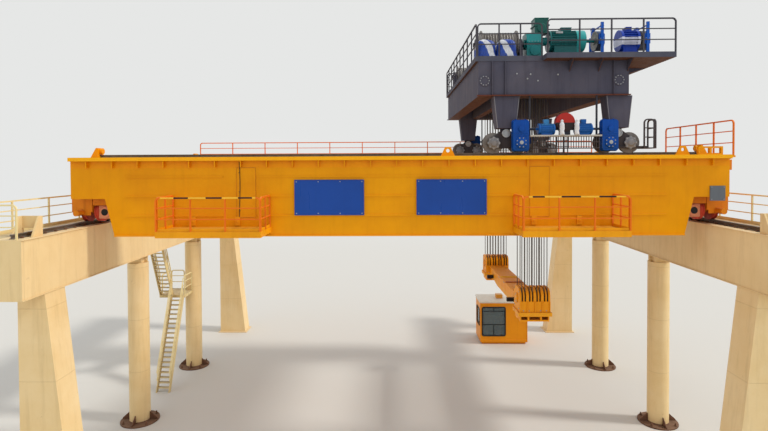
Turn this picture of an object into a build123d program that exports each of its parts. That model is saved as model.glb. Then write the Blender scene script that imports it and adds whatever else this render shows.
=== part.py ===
# Foundry overhead crane on its test runway.
# Lengths are in millimetres. X runs along the bridge, Y along the runway, Z up from the floor.
import os
from math import cos, radians, sin, tan

from build123d import *

os.makedirs("parts", exist_ok=True)

# Clearances
running_gap = 0.3
panel_gap = 3
wheel_side_gap = 5

# Runway: two box beams on columns and end legs
crane_gauge = 24000
runway_length = 23000
runway_beam_width = 900
runway_beam_depth = 1900
runway_beam_top = 9600
runway_flange_overhang = 30
runway_flange_thickness = 30
crane_rail_height = 150
crane_rail_head = 100
crane_rail_foot = 150
crane_rail_web = 44
column_diameter = 910
column_spacing = 6640
column_base_diameter = 1700
column_base_thickness = 50
column_base_gusset = 350
column_stub_width = 620
column_stub_height = 300
anchor_spacing = 1060
anchor_hole = 60
leg_spacing = 19900
leg_top_width = 900
leg_foot_width = 1750
leg_depth = 1050
leg_base_thickness = 50
leg_base_margin = 120
runway_stop_height = 650
runway_stop_length = 500
runway_stop_inset = 650
runway_stop_slope = 180
runway_stop_plate = 60
runway_stop_pad = 60
runway_rail_inset = 200

# Railings
rail_tube = 50
mid_rail_tube = 35
rail_corner = 160
railing_height = 1100
mid_rail_shares = (0.36, 0.68)
walkway_width = 850
walkway_thickness = 60
walkway_rail_inset = 40
walkway_bays = 12
end_railing_length = 1500

# Stair on the left of the runway
stair_landing_height = 4600
stair_landing_start = 1700
stair_slope = 67
stair_headroom = 2000
stair_gap_margin = 250
flight_width = 700
lane_gap = 20
stringer_width = 40
stringer_depth = 220
tread_rise = 230
tread_depth = 200
tread_thickness = 40
landing_thickness = 150
handrail_height = 1000
handrail_tube = 38
handrail_post_pitch = 1300

# Cab standing on the floor
cab_left = 5620
cab_front = 7000
cab_width = 3070
cab_depth = 1850
cab_height = 2600
cab_wall = 60
cab_roof_thickness = 110
cab_window_width = 1500
cab_window_height = 1880
cab_window_inset = 120
cab_sill = 430
cab_glass_thickness = 12
cab_skid = 120
cab_side_window = 1100
cab_side_sill = 1000
cab_side_height = 1100
cab_door_width = 800
cab_door_height = 2050
cab_trim = 90
cab_box_width = 420
cab_box_height = 260
cab_box_offset = -150

# Bridge: two box girders joined by end ties
bridge_centre = -1800
girder_overhang = 50
girder_top = 12180
girder_depth = 2920
girder_width = 1900
girder_gap = 9000
girder_foot_setback = 1560
notch_setback = 1220
notch_height = 10650
top_flange_thickness = 140
top_flange_overhang = 170
bottom_flange_thickness = 40
bottom_flange_overhang = 60
gusset_height = 240
gusset_thickness = 40
gusset_pitch = 950
ridge_levels = (10020, 10740, 11455)
ridge_rise = 25
ridge_height = 60
splice_left = -5880
splice_right = 4850
splice_width = 700
splice_height = 1820
splice_low = 9960
splice_rise = 15
tie_width = 900
tie_depth = 1400

# Bridge travel wheels
bridge_wheel_diameter = 760
bridge_wheel_flange = 35
bridge_wheel_flange_width = 30
bridge_wheel_pitch = 960
bridge_axle_diameter = 160
truck_plate = 120
truck_end_plate = 30
truck_inner_offset = 330
truck_length = 1900
truck_setback = 600
truck_bearing_radius = 190
buffer_radius = 110
buffer_length = 400
buffer_height = 10100

# Trolley rails on the girders
trolley_gauge = 10000
trolley_rail_height = 130
trolley_rail_head = 90
trolley_rail_foot = 130
trolley_rail_web = 40
trolley_rail_inset = 350
trolley_stop_height = 400
trolley_stop_depth = 420
trolley_stop_width = 150

# Hanging maintenance platforms on the front web
platform_left_start = -8250
platform_right_start = 4240
platform_length = 3620
platform_depth = 1500
platform_deck_top = 9610
platform_fascia = 210
platform_railing_height = 1180

# Walkways at the bridge top
end_platform_depth = 600
end_platform_length = 4900
end_platform_start = -7600
end_platform_drop = 30
end_platform_thickness = 60

# Boards
board_width = 2550
board_height = 1300
board_thickness = 40
board_centre_height = 10680
board_left = -2470
board_right = 2000
plate_side = 540
plate_centre_x = 11610
plate_centre_z = 10780

# Trolley: a welded frame on four legs
trolley_centre = 6400
leg_offset = 2150
trolley_frame_left = 3250
trolley_frame_right = 2470
trolley_frame_bottom = 14480
trolley_frame_top = 15800
trolley_beam_width = 800
trolley_side_width = 600
trolley_middle_width = 350
trolley_leg_top = 990
trolley_leg_foot = 720
trolley_leg_width = 620
trolley_leg_bottom = 13250
deck_thickness = 200
deck_left = 3350
deck_right = 3950
deck_reach = 5980
deck_corner_length = 2550
deck_corner_depth = 560
trolley_wheel_diameter = 750
trolley_wheel_pitch = 950
trolley_wheel_flange = 30
trolley_wheel_flange_width = 25
trolley_axle_diameter = 140
bogie_plate = 70
bogie_length = 1700
trolley_railing_height = 1250

# Pivots between the legs and the bogies
pivot_height = 13060
pivot_lug_radius = 180
pivot_pin_radius = 110
pivot_cap = 45
axle_lug_radius = 200
axle_boss = 50
step_start = 3080
step_width = 480
step_depth = 660
step_height = 1100
step_floor = 40

# Stiffeners, covers and brackets of the trolley frame
frame_flange = 40
frame_flange_overhang = 60
stiffener_depth = 90
stiffener_thickness = 25
stiffener_places = (520, 1020, 5120)
cover_places = (240, 5350)
cover_radius = 210
cover_height = 15060
cover_thickness = 25
deck_bracket_pitch = 1100
deck_bracket_count = 5
edge_bracket_count = 3
deck_bracket_depth = 420
deck_bracket_thickness = 25

# Trolley travel drives
gearbox_width = 600
gearbox_height = 1150
gearbox_depth = 330
gearbox_low = 12375
gearbox_leg_gap = 15
gearbox_corner = 90
gearbox_flange = 30
gearbox_flange_width = 50
gearbox_hub_radius = 130
gearbox_hub = 40
axle_overhang = 10
travel_shaft_radius = 45
travel_motor_radius = 210
travel_motor_length = 600
travel_motor_offset = 700
travel_guard_radius = 360
travel_guard_width = 260
travel_guard_lift = 250
shelf_width = 440
shelf_thickness = 60

# Hoist machinery on the deck
hoist_row = 3800
machine_axis = 16780
drum_diameter = 960
drum_length = 1480
drum_start = 3480
drum_shaft_radius = 90
pedestal_gap = 140
pedestal_width = 140
pedestal_depth = 460
pedestal_cap = 150
reducer_centre = 5620
reducer_width = 640
reducer_depth = 900
reducer_top = 17200
exciter_width = 560
exciter_depth = 520
exciter_height = 620
motor_start = 6260
motor_length = 1400
motor_radius = 430
motor_lift = 120
second_motor_start = 9130
second_motor_length = 740
second_motor_radius = 430
brake_base = 60
brake_height = 1560
first_brake_centre = 8300
second_brake_centre = 10120
wrapped_width = 720
wrapped_height = 760
wrapped_crown = 260
wrapped_gap = 80
wrapped_setback = 500
motor_fins = 24
motor_shield = 60
motor_body_share = 0.88
motor_fin_thickness = 16
coupling_radius = 170
coupling_length = 190
line_shaft_radius = 60
brake_drum_radius = 400
brake_drum_width = 260
brake_shoe = 35
brake_arm = 80
brake_arm_width = 110
thruster_radius = 95
thruster_reach = 150
reducer_split = 50
reducer_flange = 40
reducer_shoulder = 150
drum_groove_pitch = 110
drum_groove_depth = 22
drum_land = 60
drum_flange = 90
drum_flange_width = 40

# Ropes, sheaves and the lifting beam
fall_centre = 5620
sheave_diameter = 800
sheave_width = 56
sheave_groove = 26
sheave_bore = 150
rope_diameter = 36
slot_offsets = (-510, -390, -210, -90, 90, 210, 390, 510)
slot_width = 70
slot_clearance = 15
upper_sheave_height = 15050
upper_plate_width = 60
lower_sheave_height = 6330
block_width = 1240
block_depth = 980
block_top = 6780
block_bottom = 5830
ledge_thickness = 150
ledge_overhang = 60
block_crown = 300
cheek_bore_radius = 150
cheek_bore_depth = 50
block_rib = 40
block_rib_width = 36
foot_height = 230
foot_opening_height = 130
slot_depth = 510
beam_width = 800
beam_end_depth = 380
beam_mid_depth = 640
beam_mid_reach = 1400
beam_top = 6250
beam_cross_plates = (-700, 450)
beam_cross_plate_width = 90
beam_cross_plate_height = 35
beam_flange = 40
beam_flange_overhang = 40
trunnion_reach = 330
trunnion_side = 160
trunnion_height = 5870
trunnion_offset = 2370


def save(piece, node):
    """Label one piece and write its file."""
    piece.label = node
    export_step(piece, f"parts/{node}.step")


def both_sides(piece):
    """The piece and its mirror image across the bridge's middle plane X = 0."""
    return piece, piece.mirror(Plane.YZ)


def hoop(width, height, corner):
    """The outline under a shape that is rounded at both top corners."""
    with BuildSketch() as outline:
        Rectangle(width, height, align=(Align.CENTER, Align.MIN))
        fillet(outline.vertices().group_by(Axis.Y)[-1], corner)
    return outline.sketch


def railing(base, length, bays, height):
    """A straight railing panel with bent top corners, from the middle of its foot line."""
    upright = Plane(origin=base.origin, x_dir=base.x_dir, z_dir=-base.y_dir)
    frame = hoop(length + rail_tube, height, rail_corner)
    opening = hoop(length - rail_tube, height - rail_tube, rail_corner - rail_tube)
    with BuildPart() as panel:
        with BuildSketch(upright):
            add(frame)
            add(opening, mode=Mode.SUBTRACT)
            for index in range(1, bays):
                with Locations((index * length / bays - length / 2, 0)):
                    Rectangle(rail_tube, height - rail_tube / 2, align=(Align.CENTER, Align.MIN))
        extrude(amount=rail_tube / 2, both=True)
        with BuildSketch(upright):
            for share in mid_rail_shares:
                with Locations((0, height * share)):
                    Rectangle(length, mid_rail_tube)
        extrude(amount=mid_rail_tube / 2, both=True)
    return panel.part

def along_x(x, y, z):
    """A level base plane whose X runs along the bridge."""
    return Plane(origin=(x, y, z), x_dir=(1, 0, 0), z_dir=(0, 0, 1))


def along_y(x, y, z):
    """A level base plane whose X runs along the runway."""
    return Plane(origin=(x, y, z), x_dir=(0, 1, 0), z_dir=(0, 0, 1))


def railing_along_x(start, finish, across, foot, bays, height):
    """A railing panel from start to finish along the bridge."""
    return railing(along_x((start + finish) / 2, across, foot), finish - start - rail_tube, bays, height)


def railing_along_y(start, finish, across, foot, bays, height):
    """A railing panel from start to finish along the runway."""
    return railing(along_y(across, (start + finish) / 2, foot), finish - start - rail_tube, bays, height)


# Runway beams, right side first, then its mirror image
beam_outer = crane_gauge / 2 + runway_beam_width / 2
beam_inner = crane_gauge / 2 - runway_beam_width / 2
beam_bottom = runway_beam_top - runway_beam_depth

with BuildPart() as runway_beam:
    with BuildSketch(Plane.XZ.offset(-runway_length / 2)) as beam_section:
        with Locations((crane_gauge / 2, runway_beam_top - runway_beam_depth / 2)):
            Rectangle(runway_beam_width, runway_beam_depth)
        with Locations(
            (crane_gauge / 2, runway_beam_top - runway_flange_thickness / 2),
            (crane_gauge / 2, beam_bottom + runway_flange_thickness / 2),
        ):
            Rectangle(runway_beam_width + 2 * runway_flange_overhang, runway_flange_thickness)
    extrude(amount=runway_length)

runway_right, runway_left = both_sides(runway_beam.part)
save(runway_right, "runway_beam_right")
save(runway_left, "runway_beam_left")


def rail_bar(centre_x, centre_y, foot_z, length, height, head, foot, web, plane_normal):
    """A rolled crane rail: head, web and foot, extruded along its run."""
    if plane_normal == "Y":
        section = Plane(origin=(centre_x, centre_y + length / 2, foot_z), x_dir=(1, 0, 0), z_dir=(0, -1, 0))
    else:
        section = Plane(origin=(centre_x - length / 2, centre_y, foot_z), x_dir=(0, 1, 0), z_dir=(1, 0, 0))
    with BuildPart() as bar:
        with BuildSketch(section):
            with BuildLine():
                Polyline(
                    (-foot / 2, 0),
                    (foot / 2, 0),
                    (foot / 2, height * 0.12),
                    (web / 2, height * 0.25),
                    (web / 2, height * 0.65),
                    (head / 2, height * 0.75),
                    (head / 2, height),
                    (-head / 2, height),
                    (-head / 2, height * 0.75),
                    (-web / 2, height * 0.65),
                    (-web / 2, height * 0.25),
                    (-foot / 2, height * 0.12),
                    close=True,
                )
            make_face()
        extrude(amount=length)
    return bar.part


# Crane rails on the runway beams
crane_rail_top = runway_beam_top + crane_rail_height
crane_rails = Compound(
    [
        rail_bar(
            side * crane_gauge / 2,
            0,
            runway_beam_top,
            runway_length - 2 * runway_rail_inset,
            crane_rail_height,
            crane_rail_head,
            crane_rail_foot,
            crane_rail_web,
            "Y",
        )
        for side in (-1, 1)
    ]
)
save(crane_rails, "crane_rails")

# End stops that halt the bridge: two braced plates with a pad between them
stop_offset = runway_beam_width / 2 - 130
stop_back = runway_length / 2 - runway_stop_inset
stop_face = stop_back - runway_stop_length
pad_bottom = runway_beam_top + crane_rail_height + 100
pad_height = runway_beam_top + runway_stop_height - pad_bottom
with BuildPart() as runway_stops:
    for side in (-1, 1):
        for end in (-1, 1):
            for offset in (-stop_offset, stop_offset):
                with BuildSketch(Plane.YZ.offset(side * crane_gauge / 2 + offset)):
                    with BuildLine():
                        Polyline(
                            (end * stop_face, runway_beam_top),
                            (end * stop_face, runway_beam_top + runway_stop_height),
                            (end * (stop_face + runway_stop_slope), runway_beam_top + runway_stop_height),
                            (end * stop_back, runway_beam_top),
                            close=True,
                        )
                    make_face()
                extrude(amount=runway_stop_plate / 2, both=True)
            with Locations(
                (side * crane_gauge / 2, end * (stop_face + runway_stop_pad / 2), pad_bottom + pad_height / 2)
            ):
                Box(2 * stop_offset + runway_stop_plate, runway_stop_pad, pad_height)
save(runway_stops.part, "runway_stops")

# Round columns with their stubs; the bases are pieces of their own
def column(x, y):
    stub_bottom = beam_bottom - column_stub_height
    with BuildPart() as post:
        with BuildSketch(Plane.XY.offset(column_base_thickness)):
            with Locations((x, y)):
                Circle(column_diameter / 2)
        extrude(amount=stub_bottom - column_base_thickness)
        with BuildSketch(Plane.XY.offset(stub_bottom)):
            with Locations((x, y)):
                Rectangle(column_stub_width, column_stub_width)
        extrude(amount=column_stub_height)
        with BuildSketch(Plane.XZ.offset(-y - 30)):
            with Locations((x, stub_bottom + 150)):
                Rectangle(column_diameter, 300)
            with Locations((x - 385, stub_bottom + 150), (x + 385, stub_bottom + 150)):
                Circle(45, mode=Mode.SUBTRACT)
        extrude(amount=60)
    return post.part


for side_name, side in (("left", -1), ("right", 1)):
    pair = [column(side * crane_gauge / 2, end * column_spacing / 2) for end in (-1, 1)]
    save(Compound(pair), f"columns_{side_name}")

# Column bases: a round plate, four gussets and four anchor holes each
gusset_reach = (column_base_diameter - column_diameter) / 2 - 40
with BuildPart() as column_bases:
    with BuildSketch():
        with GridLocations(crane_gauge, column_spacing, 2, 2):
            Circle(column_base_diameter / 2)
            with GridLocations(anchor_spacing, anchor_spacing, 2, 2):
                Circle(anchor_hole / 2, mode=Mode.SUBTRACT)
    extrude(amount=column_base_thickness)
    for base in GridLocations(crane_gauge, column_spacing, 2, 2):
        for rib_angle in (0, 90, 180, 270):
            rib_plane = Plane(
                origin=(base.position.X, base.position.Y, column_base_thickness),
                x_dir=(cos(radians(rib_angle)), sin(radians(rib_angle)), 0),
                z_dir=(sin(radians(rib_angle)), -cos(radians(rib_angle)), 0),
            )
            with BuildSketch(rib_plane):
                with BuildLine():
                    Polyline(
                        (column_diameter / 2 + running_gap, 0),
                        (column_diameter / 2 + gusset_reach, 0),
                        (column_diameter / 2 + gusset_reach, 60),
                        (column_diameter / 2 + running_gap + 30, column_base_gusset),
                        (column_diameter / 2 + running_gap, column_base_gusset),
                        close=True,
                    )
                make_face()
            extrude(amount=15, both=True)
save(column_bases.part, "column_bases")


# End legs: the outer face is plumb and the inner face rakes in to a wide foot
def end_leg(side, end):
    outer = side * beam_outer
    with BuildPart() as leg:
        with BuildSketch(Plane.XZ.offset(-end * leg_spacing / 2 - leg_depth / 2)):
            with BuildLine():
                Polyline(
                    (outer, leg_base_thickness),
                    (outer, beam_bottom),
                    (outer - side * leg_top_width, beam_bottom),
                    (outer - side * leg_foot_width, leg_base_thickness),
                    close=True,
                )
            make_face()
        extrude(amount=leg_depth)
        with BuildSketch():
            with Locations((outer - side * leg_foot_width / 2, end * leg_spacing / 2)):
                Rectangle(leg_foot_width + 2 * leg_base_margin, leg_depth + 2 * leg_base_margin)
        extrude(amount=leg_base_thickness)
    return leg.part


for side_name, side in (("left", -1), ("right", 1)):
    save(Compound([end_leg(side, -1), end_leg(side, 1)]), f"end_legs_{side_name}")

# Where the stair meets the walkway on the left
stair_run = stair_landing_height / tan(radians(stair_slope))
upper_rise = runway_beam_top - stair_landing_height
upper_run = upper_rise / tan(radians(stair_slope))
stair_top_y = stair_landing_start - upper_run
headroom_run = (upper_rise - stair_headroom) / tan(radians(stair_slope))
walkway_gap_end = stair_landing_start - headroom_run + stair_gap_margin


# Walkways along the outer side of each runway beam, on brackets
def walkway(side, start, finish):
    length = finish - start
    brackets = max(2, round(length / (runway_length / walkway_bays)) + 1)
    with BuildPart() as way:
        with BuildSketch(Plane.XY.offset(runway_beam_top - walkway_thickness)):
            with Locations((side * (beam_outer + walkway_width / 2), (start + finish) / 2)):
                Rectangle(walkway_width, length)
        extrude(amount=walkway_thickness)
        for index in range(brackets):
            bracket_y = start + 60 + index * (length - 120) / (brackets - 1)
            with BuildSketch(Plane.XZ.offset(-bracket_y)):
                with BuildLine():
                    Polyline(
                        (side * (beam_outer + runway_flange_overhang), runway_beam_top - walkway_thickness),
                        (side * (beam_outer + walkway_width - 60), runway_beam_top - walkway_thickness),
                        (side * beam_outer, runway_beam_top - 620),
                        (side * beam_outer, runway_beam_top - runway_flange_thickness - 60),
                        close=True,
                    )
                make_face()
            extrude(amount=15, both=True)
        with BuildSketch(Plane.XZ.offset(-(start + finish) / 2)) as flange_trim:
            with Locations((side * (beam_outer), runway_beam_top - runway_flange_thickness / 2)):
                Rectangle(2 * runway_flange_overhang, runway_flange_thickness)
        extrude(amount=length, both=True, mode=Mode.SUBTRACT)
    return way.part


walkway_edge = beam_outer + walkway_width
walkways = [
    walkway(1, -runway_length / 2, runway_length / 2),
    walkway(-1, -runway_length / 2, stair_top_y),
    walkway(-1, walkway_gap_end, runway_length / 2),
]
save(Compound(walkways), "runway_walkways")

# Railings of the walkways and of the runway's ends
railing_x = walkway_edge - walkway_rail_inset
side_railing_length = runway_length - 2 * rail_tube - 2 * panel_gap
runway_railings = []
for side in (-1, 1):
    base = along_y(side * railing_x, 0, runway_beam_top)
    runway_railings.append(railing(base, side_railing_length, walkway_bays, railing_height))
    for end in (-1, 1):
        middle = side * (railing_x - rail_tube - panel_gap - end_railing_length / 2)
        base = along_x(middle, end * (runway_length / 2 - rail_tube / 2), runway_beam_top)
        runway_railings.append(railing(base, end_railing_length, 1, railing_height))
save(Compound(runway_railings), "runway_railings")

# Stair lanes: the upper flight outside the beam, the lower flight beside it
upper_lane = -(walkway_edge - flight_width / 2)
lower_lane = upper_lane + flight_width + lane_gap


def flight(lane, foot_y, foot_z, rise, direction):
    """One steep flight: two stringers and its treads, climbing along direction in Y."""
    run = rise / tan(radians(stair_slope))
    half_cut = stringer_depth / sin(radians(stair_slope)) / 2
    treads = int(rise / tread_rise)
    with BuildPart() as stringers:
        for stringer_x in (lane - flight_width / 2, lane + flight_width / 2 - stringer_width):
            with BuildSketch(Plane.YZ.offset(stringer_x)):
                with BuildLine():
                    Polyline(
                        (foot_y - direction * half_cut, foot_z),
                        (foot_y + direction * half_cut, foot_z),
                        (foot_y + direction * (run + half_cut), foot_z + rise),
                        (foot_y + direction * (run - half_cut), foot_z + rise),
                        close=True,
                    )
                make_face()
            extrude(amount=stringer_width)
    with BuildPart() as steps:
        for index in range(1, treads):
            tread_y = foot_y + direction * run * index * tread_rise / rise
            with Locations((lane, tread_y, foot_z + index * tread_rise - tread_thickness / 2)):
                Box(flight_width - 2 * (stringer_width + running_gap), tread_depth, tread_thickness)
    return Compound(stringers.part.solids() + steps.part.solids())


landing_back = column_spacing / 2
stringer_half = stringer_depth / sin(radians(stair_slope)) / 2
lower_foot_y = stair_landing_start - stair_run - stringer_half
save(flight(lower_lane, lower_foot_y, 0, stair_landing_height, 1), "stair_lower_flight")
save(
    flight(upper_lane, stair_landing_start + stringer_half, stair_landing_height, upper_rise, -1),
    "stair_upper_flight",
)

# Landing, notched round the back left column that carries it
landing_inner = lower_lane + flight_width / 2
with BuildPart() as landing:
    with BuildSketch(Plane.XY.offset(stair_landing_height - landing_thickness)):
        with Locations(
            ((-walkway_edge + landing_inner) / 2, (stair_landing_start + landing_back) / 2)
        ):
            Rectangle(landing_inner + walkway_edge, landing_back - stair_landing_start)
        with Locations((-crane_gauge / 2, column_spacing / 2)):
            Circle(column_diameter / 2 + running_gap, mode=Mode.SUBTRACT)
    extrude(amount=landing_thickness)
save(landing.part, "stair_landing")


# Handrails of the two flights, with the railing round the landing
def handrail(rail_x, foot_y, foot_z, rise, direction, ceiling):
    """The handrail over one stringer: a top rail, a mid rail and posts cut to the slope."""
    steep = tan(radians(stair_slope))
    half = handrail_tube / 2
    reach = half / sin(radians(stair_slope))
    last = min(rise, ceiling - foot_z - handrail_height)
    gaps = max(1, round((last - 400) / handrail_post_pitch))
    with BuildPart() as panel:
        with BuildSketch(Plane.YZ.offset(rail_x - half)):
            for height in (handrail_height, handrail_height * 0.6):
                start_y = foot_y
                end_y = foot_y + direction * last / steep
                with BuildLine():
                    Polyline(
                        (start_y - reach, foot_z + height),
                        (start_y + reach, foot_z + height),
                        (end_y + reach, foot_z + height + last),
                        (end_y - reach, foot_z + height + last),
                        close=True,
                    )
                make_face()
            for index in range(gaps + 1):
                climb = 200 + index * (last - 400) / gaps
                post_y = foot_y + direction * climb / steep
                low = foot_z + climb + stringer_half * steep
                lean = direction * half * steep
                with BuildLine():
                    Polyline(
                        (post_y - half, low - lean),
                        (post_y + half, low + lean),
                        (post_y + half, foot_z + climb + handrail_height),
                        (post_y - half, foot_z + climb + handrail_height),
                        close=True,
                    )
                make_face()
        extrude(amount=handrail_tube)
    return panel.part


stringer_offset = (flight_width - stringer_width) / 2
walkway_underside = runway_beam_top - walkway_thickness
stair_railings = []
for lane, foot_y, foot_z, rise, direction in (
    (lower_lane, lower_foot_y, 0, stair_landing_height, 1),
    (upper_lane, stair_landing_start + stringer_half, stair_landing_height, upper_rise, -1),
):
    for offset in (-stringer_offset, stringer_offset):
        stair_railings.append(handrail(lane + offset, foot_y, foot_z, rise, direction, walkway_underside))
column_face = crane_gauge / 2 + column_diameter / 2
landing_rail_start = stair_landing_start + 2 * stringer_half + rail_tube
landing_rail_end = landing_back - rail_tube - panel_gap
landing_panels = [
    railing_along_y(
        landing_rail_start,
        landing_rail_end,
        rail_tube / 2 - walkway_edge,
        stair_landing_height,
        1,
        railing_height,
    ),
    railing_along_x(
        -walkway_edge,
        -column_face - rail_tube,
        landing_back - rail_tube / 2,
        stair_landing_height,
        1,
        railing_height,
    ),
    railing_along_y(
        stair_landing_start + rail_tube,
        landing_back - column_diameter / 2 - rail_tube,
        landing_inner - rail_tube / 2,
        stair_landing_height,
        1,
        railing_height,
    ),
]
save(Compound(stair_railings + landing_panels), "stair_railings")

# Cab: a hollow housing on skids, with a front window, a side window and a door
cab_right = cab_left + cab_width
cab_back = cab_front + cab_depth
cab_middle = ((cab_left + cab_right) / 2, (cab_front + cab_back) / 2)
cab_window_x = cab_left + cab_window_inset + cab_window_width / 2
cab_window_z = cab_skid + cab_sill + cab_window_height / 2
cab_side_z = cab_skid + cab_side_sill + cab_side_height / 2
with BuildPart() as cab_shell:
    with BuildSketch(Plane.XY.offset(cab_skid)):
        with Locations(cab_middle):
            Rectangle(cab_width, cab_depth)
    extrude(amount=cab_height)
    with BuildSketch(Plane.XY.offset(cab_skid + cab_wall)):
        with Locations(cab_middle):
            Rectangle(cab_width - 2 * cab_wall, cab_depth - 2 * cab_wall)
    extrude(amount=cab_height, mode=Mode.SUBTRACT)
    with BuildSketch(Plane.XZ.offset(-cab_front)):
        with Locations((cab_window_x, cab_window_z)):
            RectangleRounded(cab_window_width, cab_window_height, cab_trim)
    extrude(amount=-2 * cab_wall, mode=Mode.SUBTRACT)
    with BuildSketch(Plane.YZ.offset(cab_left)):
        with Locations((cab_middle[1], cab_side_z)):
            RectangleRounded(cab_side_window, cab_side_height, cab_trim)
    extrude(amount=cab_wall, mode=Mode.SUBTRACT)
    with BuildSketch(Plane.YZ.offset(cab_right - cab_wall)):
        with Locations((cab_middle[1], cab_skid + cab_wall + cab_door_height / 2)):
            Rectangle(cab_door_width, cab_door_height)
    extrude(amount=cab_wall, mode=Mode.SUBTRACT)
    with BuildSketch(Plane.YZ.offset(cab_right - cab_wall)):
        with Locations((cab_middle[1], cab_skid + cab_wall + cab_door_height / 2)):
            Rectangle(cab_door_width, cab_door_height)
    extrude(amount=cab_wall / 2)
    with BuildSketch():
        with Locations(cab_middle):
            with GridLocations(0, cab_depth - 300, 1, 2):
                Rectangle(cab_width - 200, 120)
    extrude(amount=cab_skid)
save(cab_shell.part, "cab_shell")

cab_top = cab_skid + cab_height
with BuildPart() as cab_roof:
    with BuildSketch(Plane.XY.offset(cab_top)):
        with Locations(cab_middle):
            RectangleRounded(cab_width + 100, cab_depth + 100, cab_trim)
    extrude(amount=cab_roof_thickness)
    box_middle = cab_top + cab_roof_thickness + cab_box_height / 2
    with Locations((cab_middle[0] + cab_box_offset, cab_middle[1], box_middle)):
        Box(cab_box_width, cab_box_width, cab_box_height)
save(cab_roof.part, "cab_roof")

with BuildPart() as cab_glass:
    with BuildSketch(Plane.XZ.offset(-cab_front - cab_wall / 2)):
        with Locations((cab_window_x, cab_window_z)):
            RectangleRounded(cab_window_width, cab_window_height, cab_trim)
    extrude(amount=-cab_glass_thickness)
    with BuildSketch(Plane.YZ.offset(cab_left + cab_wall / 2)):
        with Locations((cab_middle[1], cab_side_z)):
            RectangleRounded(cab_side_window, cab_side_height, cab_trim)
    extrude(amount=cab_glass_thickness)
save(cab_glass.part, "cab_glass")

# Main girders: webs cut to the notched outline, flanges, hanging gussets and ridges
girder_length = crane_gauge + 2 * girder_overhang
girder_foot_length = crane_gauge - 2 * girder_foot_setback
notch_inner_length = crane_gauge - 2 * notch_setback
girder_bottom = girder_top - girder_depth
web_top = girder_top - top_flange_thickness
front_web = bridge_centre - girder_gap / 2 - girder_width
back_web = bridge_centre + girder_gap / 2 + girder_width


def main_girder(outer_web, outward):
    """One box girder; outward is the sign of Y from the box to its outer side."""
    inner_web = outer_web - outward * girder_width
    middle = (outer_web + inner_web) / 2
    with BuildPart() as girder:
        with BuildSketch(Plane.XZ.offset(-middle)):
            with BuildLine():
                Polyline(
                    (-girder_length / 2, web_top),
                    (girder_length / 2, web_top),
                    (girder_length / 2, notch_height),
                    (notch_inner_length / 2, notch_height),
                    (girder_foot_length / 2, girder_bottom),
                    (-girder_foot_length / 2, girder_bottom),
                    (-notch_inner_length / 2, notch_height),
                    (-girder_length / 2, notch_height),
                    close=True,
                )
            make_face()
        extrude(amount=girder_width / 2, both=True)
        with BuildSketch(Plane.XY.offset(web_top)):
            with Locations((0, middle + outward * top_flange_overhang / 2)):
                Rectangle(girder_length, girder_width + top_flange_overhang)
        extrude(amount=top_flange_thickness)
        with BuildSketch(Plane.XY.offset(girder_bottom)):
            with Locations((0, middle)):
                Rectangle(girder_foot_length, girder_width + 2 * bottom_flange_overhang)
        extrude(amount=bottom_flange_thickness)
        gussets = int((girder_length - 600) / gusset_pitch) + 1
        gusset_y = outer_web + outward * (top_flange_overhang - 30) / 2
        with Locations((0, gusset_y, web_top - gusset_height / 2)):
            with GridLocations(gusset_pitch, 0, gussets, 1):
                Box(gusset_thickness, top_flange_overhang - 30, gusset_height)
        for level in ridge_levels:
            with Locations((0, outer_web + outward * ridge_rise / 2, level)):
                for start, finish in (
                    (-girder_foot_length / 2 + 450, splice_left - 500),
                    (splice_left + splice_width + 60, splice_right - 60),
                    (splice_right + splice_width + 350, girder_foot_length / 2 - 650),
                ):
                    with Locations(((start + finish) / 2, 0, 0)):
                        Box(finish - start, ridge_rise, ridge_height)
        for splice in (splice_left, splice_right):
            with Locations(
                (splice + splice_width / 2, outer_web + outward * splice_rise / 2, splice_low + splice_height / 2)
            ):
                Box(splice_width, splice_rise, splice_height)
    return girder.part


save(main_girder(front_web, -1), "main_girder_front")
save(main_girder(back_web, 1), "main_girder_back")

# End ties between the girders' inner webs
tie_x = girder_length / 2 - tie_width / 2 - 200
with BuildPart() as end_tie:
    with BuildSketch(Plane.XY.offset(girder_top - tie_depth)):
        with Locations((tie_x, bridge_centre)):
            Rectangle(tie_width, girder_gap)
    extrude(amount=tie_depth)
save(Compound(both_sides(end_tie.part)), "end_ties")

# Travel trucks under the notches: two bearing plates, a top box and a buffer
bridge_axle_height = crane_rail_top + bridge_wheel_diameter / 2 + running_gap
girder_line = girder_gap / 2 + girder_width / 2
truck_line = girder_line - truck_setback
top_box_height = notch_height - bridge_axle_height - bridge_wheel_diameter / 2 - bridge_wheel_flange - 20


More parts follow.
